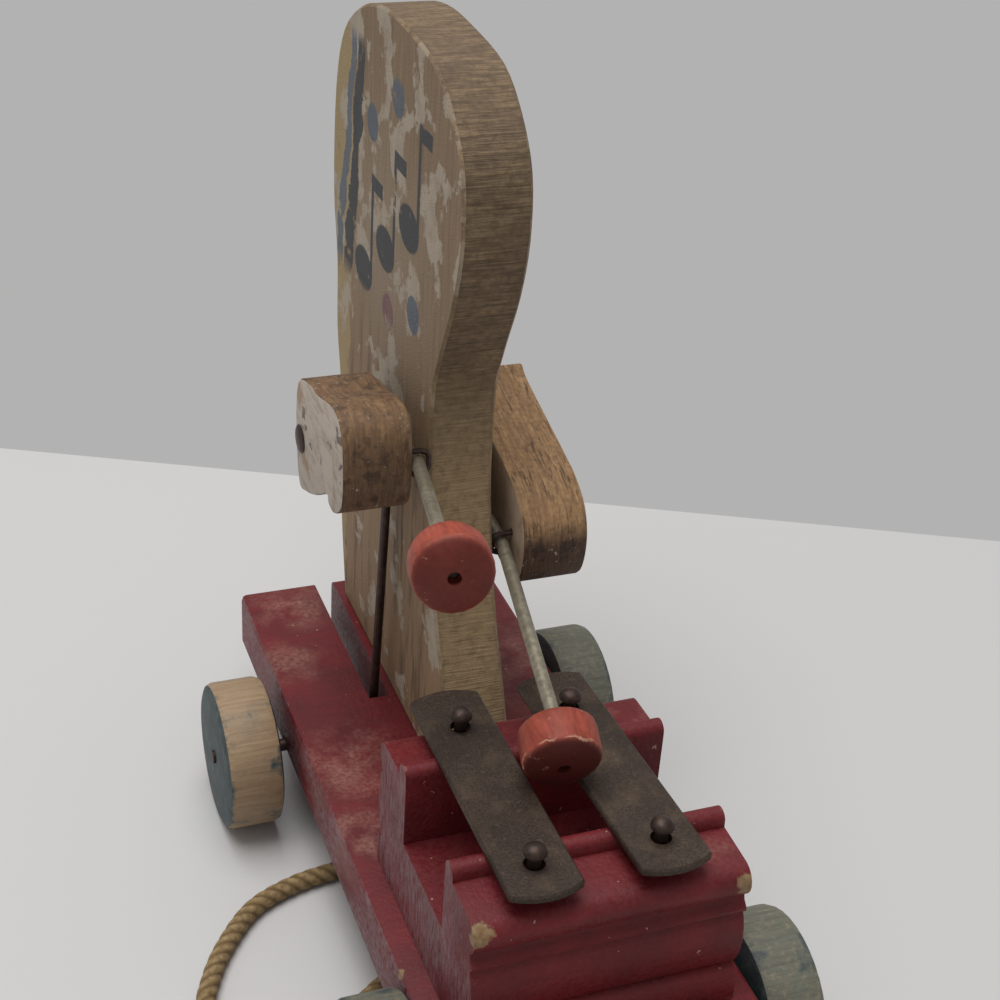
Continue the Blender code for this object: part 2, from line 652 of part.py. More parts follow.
def bar_turns():
    return (("left", BAR_X_LEFT, BAR_TURN_LEFT), ("right", BAR_X_RIGHT, BAR_TURN_RIGHT))


def bar_point(bar_x, turn, across, along):
    """Point on a bar's plan: turned about its middle, positive angles carry its front end to the right."""
    angle = math.radians(turn)
    return (bar_x + across * math.cos(angle) - along * math.sin(angle),
            STAND_Y + across * math.sin(angle) + along * math.cos(angle))


def nail_places():
    return [bar_point(x, turn, 0.0, end * NAIL_SPAN / 2) for word, x, turn in bar_turns() for end in (1, -1)]


def make_bars(toy):
    for word, x, turn in bar_turns():
        half = BAR_WIDTH / 2
        straight = BAR_LENGTH / 2 - BAR_END_RISE
        steps = [half * step / 3 for step in range(-3, 4)]
        bow = [straight + BAR_END_RISE * (1 - (across / half) ** 2) for across in steps]
        plan = [(across, BAR_SHIFT + reach) for across, reach in zip(steps, bow)]
        plan += [(across, BAR_SHIFT - reach) for across, reach in zip(reversed(steps), bow)]
        shape = bmesh.new()
        ring = [shape.verts.new((*bar_point(x, turn, across, along), BAR_BOTTOM)) for across, along in plan]
        moved = bmesh.ops.extrude_face_region(shape, geom=[shape.faces.new(ring)])
        far = [item for item in moved["geom"] if isinstance(item, bmesh.types.BMVert)]
        bmesh.ops.translate(shape, vec=(0, 0, BAR_THICK), verts=far)
        steel = finish("weathered steel, bar " + word, STEEL, 0.6, 0.8)
        bar = mesh_object("tone_bar_" + word, shape, toy, steel)
        ease_edges(bar, BAR_EDGE, 1)
        holes = bmesh.new()
        for end in (1, -1):
            spot = bar_point(x, turn, 0.0, end * NAIL_SPAN / 2)
            low, high = BAR_BOTTOM - BAR_THICK, BAR_TOP + BAR_THICK
            add_shape(holes, rod(BAR_HOLE_R, (*spot, low), (*spot, high), 20))
        cut(bar, cutter("bar_holes_" + word, holes, toy))


def make_nails(toy):
    under = BAR_TOP + NAIL_PROUD
    r, h = NAIL_HEAD_R, NAIL_HEAD_H
    iron = finish("dark nail iron", IRON, 0.5, 1.0)
    dome = [(r * math.cos(math.radians(a)), h * math.sin(math.radians(a))) for a in (0, 25, 50, 72)]
    profile = [(0, h)] + dome[::-1] + [(r, -NAIL_RIM), (NAIL_R, -NAIL_RIM)]
    profile += [(NAIL_R, -NAIL_DEPTH + 2 * NAIL_R), (0, -NAIL_DEPTH + GAP)]
    words = ("left_rear", "left_front", "right_rear", "right_front")
    for word, (x, y) in zip(words, nail_places()):
        nail = turned(profile, 16)
        bmesh.ops.translate(nail, vec=(x, y, under), verts=nail.verts)
        mesh_object("bar_nail_" + word, nail, toy, iron)


def make_screws(toy):
    steel = finish("screw steel", ROD_GREY, 0.5, 1.0)
    low = BASE_CLEAR + GAP
    length = BASE_THICK + SCREW_BITE
    profile = [(0, 0), (SCREW_HEAD_R, 0), (SCREW_HEAD_R, SCREW_HEAD_H), (SCREW_R, SCREW_HEAD_H),
               (SCREW_R, length - 2 * SCREW_R), (0, length)]
    names = ("figure_screw_front", "figure_screw_rear", "stand_screw_left", "stand_screw_right")
    for name, (x, y) in zip(names, screw_places()):
        screw = turned(profile, 14)
        bmesh.ops.translate(screw, vec=(x, y, low), verts=screw.verts)
        mesh_object(name, screw, toy, steel)


def make_tow_eye(toy):
    iron = finish("tow eye steel", IRON, 0.5, 1.0)
    centre = eye_centre()
    shank = rod(EYE_WIRE_R, (0, centre.y + EYE_R, centre.z), (0, BASE_FRONT + EYE_SHANK, centre.z), 12)
    eye = mesh_object("tow_eye", shank, toy, iron)
    ring = turned([(EYE_R + y, z) for y, z in arc((0, 0), EYE_WIRE_R * 1.02, 0, 315, 7)], 24)
    place(ring, centre, (0, 0, 1))
    cut(eye, cutter("tow_eye_ring", ring, toy), "UNION")


def make_cord(toy):
    jute = finish("jute cord", JUTE, 0.9, 0.0)
    start = eye_centre() + Vector((0, 0, EYE_WIRE_R + GAP / 2))
    route = smooth_path((start,) + CORD_ROUTE, 3)
    tube("pull_cord", route, CORD_R, 2, toy, jute)
    length = sum((after - before).length for before, after in zip(route, route[1:]))
    print("pull cord length %.3f m" % length)
    r = KNOT_R
    ball = [(0, -r * 0.6), (r * 0.75, -r * 0.6), (r * 0.97, -r * 0.3), (r, r * 0.1), (r * 0.8, r * 0.55),
            (r * 0.4, r * 0.8), (0, r * 0.85)]
    top = turned(ball, 16)
    place(top, route[0] + Vector((0, 0, r * 0.6 + GAP)), (0, 0, 1))
    mesh_object("cord_knot_eye", top, toy, jute)
    ahead = (route[-1] - route[-2]).normalized()
    end = turned(ball, 16)
    place(end, Vector((0, 0, 0)), ahead)
    lift = -min(vert.co.z for vert in end.verts) + GAP
    middle = route[-1] + ahead * (r * 0.6 + GAP)
    bmesh.ops.translate(end, vec=(middle.x, middle.y, lift), verts=end.verts)
    mesh_object("cord_knot_end", end, toy, jute)


def main():
    clear_scene()
    centre_x = (WHEEL_OUT_LEFT - WHEEL_OUT_RIGHT) / 2
    centre_y = -(FIGURE_REAR + BASE_FRONT - 2 * EYE_R - 3 * EYE_WIRE_R) / 2
    toy = axis_empty("toy", (centre_x, centre_y, 0))
    rear_axis = axis_empty("rear_axle_axis", (0, REAR_AXLE_Y, AXLE_Z), toy)
    front_axis = axis_empty("front_axle_axis", (0, FRONT_AXLE_Y, AXLE_Z), toy)
    make_base(toy)
    make_axle_staples(toy)
    make_axles(rear_axis, front_axis)
    make_wires(rear_axis)
    make_figure(toy)
    make_shoulder(toy)
    shoulder = Vector((0, SHOULDER_Y, SHOULDER_Z))
    for word, side, outline, staple, head, tilt in (
            ("left", -1, ARM_OUTLINE_LEFT, MALLET_STAPLE_LEFT, MALLET_HEAD_LEFT, MALLET_TILT_LEFT),
            ("right", 1, ARM_OUTLINE_RIGHT, MALLET_STAPLE_RIGHT, MALLET_HEAD_RIGHT, MALLET_TILT_RIGHT)):
        axis = axis_empty("shoulder_axis_" + word, shoulder, toy)
        arm = make_arm(word, side, outline, axis)
        staple = Vector(staple) - shoulder
        head = Vector(head) - shoulder
        make_mallet(word, staple, head, tilt, axis)
        make_staple(word, side, staple, (head - staple).normalized(), arm, axis)
    make_stand(toy)
    make_bars(toy)
    make_nails(toy)
    make_screws(toy)
    make_tow_eye(toy)
    make_cord(toy)


main()
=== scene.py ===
# %% [markdown]
# # A worn wooden pull toy that plays two tone bars
# The solids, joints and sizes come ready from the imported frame. This lesson gives them their looks: smooth
# surfaces, worn paint, sawn pine, dull steel and a twisted jute cord, seen from the photograph's camera.

# %% Load the frame
import json
import math

import bmesh
import bpy
from mathutils import Matrix, Vector

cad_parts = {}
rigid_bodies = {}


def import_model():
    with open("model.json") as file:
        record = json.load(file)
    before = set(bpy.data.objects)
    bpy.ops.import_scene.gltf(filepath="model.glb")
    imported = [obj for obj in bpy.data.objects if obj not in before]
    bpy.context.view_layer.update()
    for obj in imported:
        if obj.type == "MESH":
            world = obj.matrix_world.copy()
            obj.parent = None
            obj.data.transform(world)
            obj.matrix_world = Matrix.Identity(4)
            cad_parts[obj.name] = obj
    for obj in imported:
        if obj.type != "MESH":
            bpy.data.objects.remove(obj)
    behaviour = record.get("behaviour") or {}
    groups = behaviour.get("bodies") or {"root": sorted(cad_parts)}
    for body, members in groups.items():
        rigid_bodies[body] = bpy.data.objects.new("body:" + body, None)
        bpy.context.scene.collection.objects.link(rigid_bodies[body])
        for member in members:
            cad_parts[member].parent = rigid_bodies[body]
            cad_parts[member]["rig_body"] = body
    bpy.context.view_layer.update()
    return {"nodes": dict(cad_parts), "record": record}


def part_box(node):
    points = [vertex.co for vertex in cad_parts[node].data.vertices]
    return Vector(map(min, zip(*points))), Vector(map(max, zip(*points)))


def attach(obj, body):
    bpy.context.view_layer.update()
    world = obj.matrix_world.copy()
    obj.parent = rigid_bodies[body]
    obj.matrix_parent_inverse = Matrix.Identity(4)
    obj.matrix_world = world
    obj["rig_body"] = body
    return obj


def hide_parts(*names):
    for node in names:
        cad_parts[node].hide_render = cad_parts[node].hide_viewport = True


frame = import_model()
nodes = frame["nodes"]

# %% [markdown]
# ## Where the toy stands
# The frame's origin lies about midway between the outer ends of the axles. The rear axle has slid to one
# side, so the toy's own mid plane, which is that of the base board, lies a little beside it. The base board's
# box gives it, so it follows the frame. Places of wear, the cord and the camera are counted from the mid
# plane. The print, the table and the lamp are counted from the origin. All are in metres.

# %% Mid plane
base_low, base_high = (Vector(corner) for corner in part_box("base_board"))
BASE_HALF = (base_high - base_low) / 2
BASE_CENTRE = (base_low + base_high) / 2
MID = Vector((BASE_CENTRE.x, BASE_CENTRE.y, 0.0))
print("mid plane", round(1000 * MID.x, 3), "mm beside the origin,", round(1000 * MID.y, 3), "mm behind it")

# %% [markdown]
# ## Colours and nodes
# Colours are written as sRGB hex values, as they are read off a picture. Shaders work in linear light, so one
# function turns them. Another adds a node, sets it up and links its inputs. The last two open a finish and
# close it: every finish on the toy ends in a colour and a fine relief.

# %% Colour and node helpers
def linear(hex_colour):
    parts = [int(hex_colour[i:i + 2], 16) / 255 for i in (1, 3, 5)]
    return tuple(c / 12.92 if c <= 0.04045 else ((c + 0.055) / 1.055) ** 2.4 for c in parts) + (1.0,)


def node(tree, kind, inputs=None, **settings):
    made = tree.nodes.new(kind)
    for name, value in settings.items():
        setattr(made, name, value)
    for key, value in (inputs or {}).items():
        if isinstance(value, bpy.types.NodeSocket):
            tree.links.new(value, made.inputs[key])
        else:
            made.inputs[key].default_value = value
    return made


print("jute in linear light:", [round(c, 3) for c in linear("#8f774f")])

# %% Open and close a finish
def new_finish(name, roughness, metallic=0.0):
    material = bpy.data.materials.new(name)
    material.use_nodes = True
    tree = material.node_tree
    shader = tree.nodes["Principled BSDF"]
    shader.inputs["Roughness"].default_value = roughness
    shader.inputs["Metallic"].default_value = metallic
    return material, tree, shader


def coat(tree, shader, colour, height, depth, strength):
    tree.links.new(colour, shader.inputs["Base Color"])
    relief = node(tree, "ShaderNodeBump", {"Height": height, "Distance": depth, "Strength": strength})
    tree.links.new(relief.outputs[0], shader.inputs["Normal"])


print("helpers ready: new_finish and coat")

# %% [markdown]
# ## Patterns that many finishes share
# A mottle is a noise whose grain is given in millimetres. Pulled out along one axis it becomes the streaks
# that a saw or a brush leaves. Old paint goes first along the edges, so a second pattern measures how far a
# point of a box lies from its nearest edge: that is the middle one of its three distances to the faces. A
# side mask picks the surfaces that look along one axis. Layers of colour are then laid over each other, each
# through its own masks, as paint and dirt lie on the toy.

# %% Mottle
def mottle(tree, grain_mm, low=0.35, high=0.65, stretch=(1.0, 1.0, 1.0), detail=5.0, offset=0.0):
    place = node(tree, "ShaderNodeTexCoord").outputs["Object"]
    placed = node(tree, "ShaderNodeMapping", {"Vector": place, "Location": (offset, offset, offset),
                                              "Scale": stretch}).outputs[0]
    noise = node(tree, "ShaderNodeTexNoise", {"Vector": placed, "Scale": 1000.0 / grain_mm, "Detail": detail,
                                              "Roughness": 0.6}).outputs[0]
    return node(tree, "ShaderNodeMapRange", {0: noise, 1: low, 2: high}).outputs[0]


print("noise scale for a 12 mm grain:", round(1000.0 / 12, 1))

# %% Edge distance and side mask
FACING = (0.60, 0.85)


def edge_distance(tree, centre, half):
    place = node(tree, "ShaderNodeTexCoord").outputs["Object"]
    away = node(tree, "ShaderNodeVectorMath", {0: place, 1: centre}, operation="SUBTRACT").outputs[0]
    away = node(tree, "ShaderNodeVectorMath", {0: away}, operation="ABSOLUTE").outputs[0]
    left = node(tree, "ShaderNodeVectorMath", {0: half, 1: away}, operation="SUBTRACT").outputs[0]
    a, b, c = node(tree, "ShaderNodeSeparateXYZ", {0: left}).outputs
    low = node(tree, "ShaderNodeMath", {0: a, 1: b}, operation="MINIMUM").outputs[0]
    high = node(tree, "ShaderNodeMath", {0: a, 1: b}, operation="MAXIMUM").outputs[0]
    high = node(tree, "ShaderNodeMath", {0: high, 1: c}, operation="MINIMUM").outputs[0]
    return node(tree, "ShaderNodeMath", {0: low, 1: high}, operation="MAXIMUM").outputs[0]


def side_mask(tree, axis):
    normal = node(tree, "ShaderNodeNewGeometry").outputs["Normal"]
    part = node(tree, "ShaderNodeSeparateXYZ", {0: normal}).outputs[axis]
    size = node(tree, "ShaderNodeMath", {0: part}, operation="ABSOLUTE").outputs[0]
    return node(tree, "ShaderNodeMapRange", {0: size, 1: FACING[0], 2: FACING[1]}).outputs[0]


print("a side starts", round(math.degrees(math.acos(FACING[0]))), "degrees off its axis")

# %% Joined masks and layers
def joined(tree, masks):
    total = masks[0]
    for mask in masks[1:]:
        total = node(tree, "ShaderNodeMath", {0: total, 1: mask}, operation="MAXIMUM").outputs[0]
    return total


def layered(tree, colour, layers):
    for masks, strength, hex_colour in layers:
        cover = masks[0]
        for mask in masks[1:]:
            cover = node(tree, "ShaderNodeMath", {0: cover, 1: mask}, operation="MULTIPLY").outputs[0]
        cover = node(tree, "ShaderNodeMapRange", {0: cover, 4: strength}).outputs[0]
        colour = node(tree, "ShaderNodeMix", {0: cover, 6: colour, 7: linear(hex_colour)},
                      data_type="RGBA").outputs[2]
    return colour


print("a layer is its masks, its strength and its colour")

# %% [markdown]
# ## Worn red paint
# The base and the stand are brushed with a dull oil paint over wood. On top it is a deep red, rubbed sandy
# where hands and wires passed. The sides were scraped by shelves and have gone lilac, with a fine grain. A
# thin pale line follows the edges, and where the paint was knocked off a corner, the wood shows. The wear
# could come from noise alone, but then it would lie anywhere. So the rubbed and knocked places are listed,
# and each is a ball whose border the noise makes ragged.

# %% Places that were rubbed or knocked: x, y, z from the mid plane, and a radius
STAND_HALF = (0.03475, 0.0368, 0.0228)
STAND_CENTRE = MID + Vector((0.0, -0.0569, 0.0621))
BASE_RUBS = ((-0.031, 0.020, 0.039, 0.022), (-0.028, 0.100, 0.039, 0.016), (-0.036, 0.072, 0.039, 0.014),
             (0.033, 0.052, 0.039, 0.032), (-0.038, -0.010, 0.039, 0.016), (0.036, -0.012, 0.039, 0.018))
BASE_CHIPS = ((-0.0415, -0.062, 0.039, 0.0016), (0.0415, 0.030, 0.039, 0.0020),
              (0.020, -0.112, 0.039, 0.0024))
STAND_RUBS = ((0.029, -0.084, 0.082, 0.006), (0.030, -0.030, 0.082, 0.008))
STAND_CHIPS = ((-0.0336, -0.0938, 0.0786, 0.0038), (0.0346, -0.0925, 0.0765, 0.0036),
               (0.0346, -0.0205, 0.0480, 0.0022))
print(len(BASE_RUBS) + len(STAND_RUBS), "rubbed places,", len(BASE_CHIPS) + len(STAND_CHIPS), "chips")

# %% Masks of the listed places, and the pale line along the edges
EDGE_LINE, EDGE_GAPS, EDGE_FADE = 0.0022, 0.0008, 0.0005


def rubbed_places(tree, place, rubs):
    marks = []
    for x, y, z, radius in rubs:
        away = node(tree, "ShaderNodeVectorMath", {0: place, 1: MID + Vector((x, y, z))}, operation="DISTANCE")
        mark = node(tree, "ShaderNodeMapRange", {0: away.outputs["Value"], 1: radius, 2: 0.2 * radius})
        marks.append(mark.outputs[0])
    return joined(tree, marks)


def knocked_places(tree, place, chips, ragged):
    marks = []
    for x, y, z, radius in chips:
        away = node(tree, "ShaderNodeVectorMath", {0: place, 1: MID + Vector((x, y, z))}, operation="DISTANCE")
        torn = node(tree, "ShaderNodeMath", {0: ragged, 1: -radius, 2: away.outputs["Value"]},
                    operation="MULTIPLY_ADD").outputs[0]
        mark = node(tree, "ShaderNodeMapRange", {0: torn, 1: 0.55 * radius, 2: 0.35 * radius})
        marks.append(mark.outputs[0])
    return joined(tree, marks)


def edge_line(tree, centre, half, ragged):
    reach = node(tree, "ShaderNodeMath", {0: ragged, 1: EDGE_LINE, 2: -EDGE_GAPS},
                 operation="MULTIPLY_ADD").outputs[0]
    inside = node(tree, "ShaderNodeMath", {0: reach, 1: edge_distance(tree, centre, half)},
                  operation="SUBTRACT").outputs[0]
    return node(tree, "ShaderNodeMapRange", {0: inside, 1: 0.0, 2: EDGE_FADE}).outputs[0]


print("edge line at most", round(1000 * (EDGE_LINE - EDGE_GAPS), 1), "mm wide")

# %% Red paint
def red_paint(name, centre, half, streak, rubs, chips):
    material, tree, shader = new_finish(name, 0.5)
    shader.inputs["Specular IOR Level"].default_value = 0.3
    place = node(tree, "ShaderNodeTexCoord").outputs["Object"]
    shade = mottle(tree, 18.0, 0.35, 0.7)
    sides = side_mask(tree, 0)
    scrape = mottle(tree, 2.2, 0.36, 0.6, streak, 8.0, 0.3)
    worn_side = mottle(tree, 40.0, 0.36, 0.5, detail=3.0, offset=0.9)
    grit = mottle(tree, 1.3, 0.36, 0.66, detail=6.0, offset=1.3)
    cloud = mottle(tree, 11.0, 0.42, 0.62, detail=5.0, offset=3.7)
    brushed = mottle(tree, 9.0, 0.35, 0.7, (0.2, 5.0, 5.0), 5.0, 5.5)
    ragged = mottle(tree, 3.5, 0.25, 0.75, detail=6.0, offset=0.7)
    specks = mottle(tree, 2.2, 0.735, 0.755, detail=2.0, offset=2.9)
    rubbed = rubbed_places(tree, place, rubs)
    bare = knocked_places(tree, place, chips, ragged)
    line = edge_line(tree, centre, half, ragged)
    colour = layered(tree, linear("#741b21"), (
        ((shade,), 1.0, "#58141a"), ((brushed,), 0.35, "#4c1117"), ((grit,), 0.1, "#96605a"),
        ((rubbed, cloud, grit), 0.75, "#a07466"), ((rubbed, cloud), 0.2, "#a07466"),
        ((sides, worn_side, scrape), 0.65, "#8c7377"), ((specks,), 0.7, "#b89c90"), ((line,), 0.35, "#a0746c"),
        ((bare,), 0.95, "#866847"), ((bare, cloud), 0.6, "#6b5036"), ((bare, grit), 0.45, "#b09878")))
    dull = node(tree, "ShaderNodeMapRange", {0: grit, 3: 0.42, 4: 0.62}).outputs[0]
    tree.links.new(dull, shader.inputs["Roughness"])
    height = node(tree, "ShaderNodeMath", {0: bare, 1: -2.0, 2: grit}, operation="MULTIPLY_ADD").outputs[0]
    coat(tree, shader, colour, height, 0.0002, 0.4)
    return material


base_paint = red_paint("brushed red oil paint on the base", BASE_CENTRE, BASE_HALF, (1.0, 1.0, 1.6),
                       BASE_RUBS, BASE_CHIPS)
stand_paint = red_paint("brushed red oil paint on the stand", STAND_CENTRE, STAND_HALF, (1.0, 2.6, 0.5),
                        STAND_RUBS, STAND_CHIPS)
print("made", base_paint.name, "and", stand_paint.name)

# %% [markdown]
# ## Sawn pine with the remains of a paper print
# The figure and the arms are cut from pine. Their edges keep fine marks, which run straight across the
# figure's thickness and along the arms, and have darkened with handling. Paper was pasted on the flat sides.
# Most of it is gone: dull cream flakes and scraps of a plain pattern of notes, dots and ribbons are left.
# Edges and flat sides could be two materials, but the wear runs over the corner, so one finish tells them by
# a side mask. The print is drawn by formulas for discs and bars, and turned round on the left side, so that
# it reads the same way on both.

# %% Saw marks and bare wood
SAW_GRAIN = 9.0
FIGURE_SAW, ARM_SAW = (0.8, 15.0, 15.0), (9.0, 1.2, 1.2)


def sawn_wood(tree, saw, edge_dark, edge_light, flat_dark, flat_light):
    marks = mottle(tree, SAW_GRAIN, 0.36, 0.64, saw, 5.0)
    cloud = mottle(tree, 30.0, 0.35, 0.65, detail=4.0, offset=0.4)
    dots = mottle(tree, 1.5, 0.42, 0.66, detail=6.0, offset=2.2)
    edge = layered(tree, linear(edge_dark), (((marks,), 1.0, edge_light), ((cloud,), 0.4, edge_dark),
                                             ((dots,), 0.4, "#44352a")))
    grain = mottle(tree, 6.0, 0.3, 0.75, (1.0, 3.0, 0.25), 6.0, 0.8)
    flat = layered(tree, linear(flat_light), (((grain,), 1.0, flat_dark),))
    sides = side_mask(tree, 0)
    edges = node(tree, "ShaderNodeMath", {0: 1.0, 1: sides}, operation="SUBTRACT").outputs[0]
    wood = node(tree, "ShaderNodeMix", {0: sides, 6: edge, 7: flat}, data_type="RGBA").outputs[2]
    return wood, marks, sides, edges


def beside_middle(tree):
    place = node(tree, "ShaderNodeTexCoord").outputs["Object"]
    x = node(tree, "ShaderNodeSeparateXYZ", {0: place}).outputs[0]
    return node(tree, "ShaderNodeMath", {0: x, 1: MID.x}, operation="SUBTRACT").outputs[0]


print("saw marks about", round(SAW_GRAIN / FIGURE_SAW[1], 1), "mm apart on the figure")

# %% Layout of the print: places along and up the board from the origin, and half sizes
PRINT_MIDDLE = 0.066
NOTES = ((0.040, 0.160), (0.060, 0.174), (0.080, 0.188))
DOTS = ((0.046, 0.205), (0.068, 0.219), (0.086, 0.166), (0.064, 0.157))
BLUE_DOTS = 3
NOTE_HEAD, DOT = (0.0086, 0.0062), (0.0052, 0.0052)
STEM_PLACE, STEM = (0.0074, 0.0150), (0.0011, 0.0150)
FLAG_PLACE, FLAG = (0.0115, 0.0285), (0.0052, 0.0022)
RIBBON, BAND = (0.1390, 0.0040), (0.1480, 0.0032)
RIBBON_LEAN, TORN = 0.16, 0.014
PRINT_FOOT, PRINT_TOP = (0.150, 0.156), (0.226, 0.222)
print("print has", len(NOTES), "notes and", len(DOTS), "dots")

# %% Discs and bars as masks
def from_centre(tree, y, z, centre):
    return [node(tree, "ShaderNodeMath", {0: value, 1: middle}, operation="SUBTRACT").outputs[0]
            for value, middle in zip((y, z), centre)]


def disc(tree, y, z, centre, radii):
    dy, dz = (node(tree, "ShaderNodeMath", {0: value, 1: radius}, operation="DIVIDE").outputs[0]
              for value, radius in zip(from_centre(tree, y, z, centre), radii))
    both = node(tree, "ShaderNodeCombineXYZ", {0: dy, 1: dz}).outputs[0]
    length = node(tree, "ShaderNodeVectorMath", {0: both}, operation="LENGTH").outputs["Value"]
    return node(tree, "ShaderNodeMapRange", {0: length, 1: 1.05, 2: 0.95}).outputs[0]


def bar_shape(tree, y, z, centre, half):
    in_y, in_z = (node(tree, "ShaderNodeMath", {0: value, 1: 0.0, 2: reach}, operation="COMPARE").outputs[0]
                  for value, reach in zip(from_centre(tree, y, z, centre), half))
    return node(tree, "ShaderNodeMath", {0: in_y, 1: in_z}, operation="MULTIPLY").outputs[0]


print("a note head is", round(2000 * NOTE_HEAD[0], 1), "mm wide")

# %% Notes, dots and ribbons
def print_masks(tree, y, z, facing, wobble):
    across = node(tree, "ShaderNodeMath", {0: y, 1: PRINT_MIDDLE}, operation="SUBTRACT").outputs[0]
    across = node(tree, "ShaderNodeMath", {0: across, 1: facing, 2: PRINT_MIDDLE},
                  operation="MULTIPLY_ADD").outputs[0]
    ink = [disc(tree, across, z, centre, NOTE_HEAD) for centre in NOTES]
    for (aside, above), half in ((STEM_PLACE, STEM), (FLAG_PLACE, FLAG)):
        ink += [bar_shape(tree, across, z, (note_y + aside, note_z + above), half) for note_y, note_z in NOTES]
    dots = [disc(tree, across, z, centre, DOT) for centre in DOTS]
    lean = node(tree, "ShaderNodeMath", {0: z, 1: RIBBON_LEAN, 2: y}, operation="MULTIPLY_ADD").outputs[0]
    lean = node(tree, "ShaderNodeMath", {0: wobble, 1: TORN, 2: lean}, operation="MULTIPLY_ADD").outputs[0]
    ribbon, band = (node(tree, "ShaderNodeMath", {0: lean, 1: middle, 2: half}, operation="COMPARE").outputs[0]
                    for middle, half in (RIBBON, BAND))
    foot, top = (node(tree, "ShaderNodeMapRange", {0: z, 1: out, 2: whole}).outputs[0]
                 for out, whole in (PRINT_FOOT, PRINT_TOP))
    printed = node(tree, "ShaderNodeMath", {0: foot, 1: top}, operation="MULTIPLY").outputs[0]
    return (printed, joined(tree, ink + [ribbon]), band, joined(tree, dots[:BLUE_DOTS]),
            joined(tree, dots[BLUE_DOTS:]))


print("print runs from", 1000 * PRINT_FOOT[0], "to", 1000 * PRINT_TOP[0], "mm above the table")

# %% Paper that is left, straw-coloured paper at the rear and a bleached spot
FIGURE_HALF = 0.009
PAPER_RISE, STRAW = (0.120, 0.190), (0.1110, 0.1125)
BLEACHED, BLEACH = MID + Vector((-FIGURE_HALF, 0.070, 0.172)), (0.050, 0.010)


def paper_masks(tree, place, y, z, wobble):
    more = node(tree, "ShaderNodeMapRange", {0: z, 1: PAPER_RISE[0], 2: PAPER_RISE[1], 3: -0.02,
                                             4: 0.02}).outputs[0]
    scraps = mottle(tree, 15.0, 0.0, 1.0, detail=9.0, offset=2.3)
    scraps = node(tree, "ShaderNodeMath", {0: scraps, 1: more}, operation="ADD").outputs[0]
    paper = node(tree, "ShaderNodeMapRange", {0: scraps, 1: 0.545, 2: 0.575}).outputs[0]
    behind = node(tree, "ShaderNodeMath", {0: wobble, 1: TORN, 2: y}, operation="MULTIPLY_ADD").outputs[0]
    straw = node(tree, "ShaderNodeMapRange", {0: behind, 1: STRAW[0], 2: STRAW[1]}).outputs[0]
    away = node(tree, "ShaderNodeVectorMath", {0: place, 1: BLEACHED}, operation="DISTANCE").outputs["Value"]
    bloom = node(tree, "ShaderNodeMapRange", {0: away, 1: BLEACH[0], 2: BLEACH[1]}).outputs[0]
    return paper, straw, bloom


print("bleached spot", round(1000 * BLEACH[0]), "mm in radius")

# %% Pine of the figure
CORNER_WEAR, PAINTED_LIGHT_AND_STAINS_BELOW = 0.0016, (0.165, 0.120)


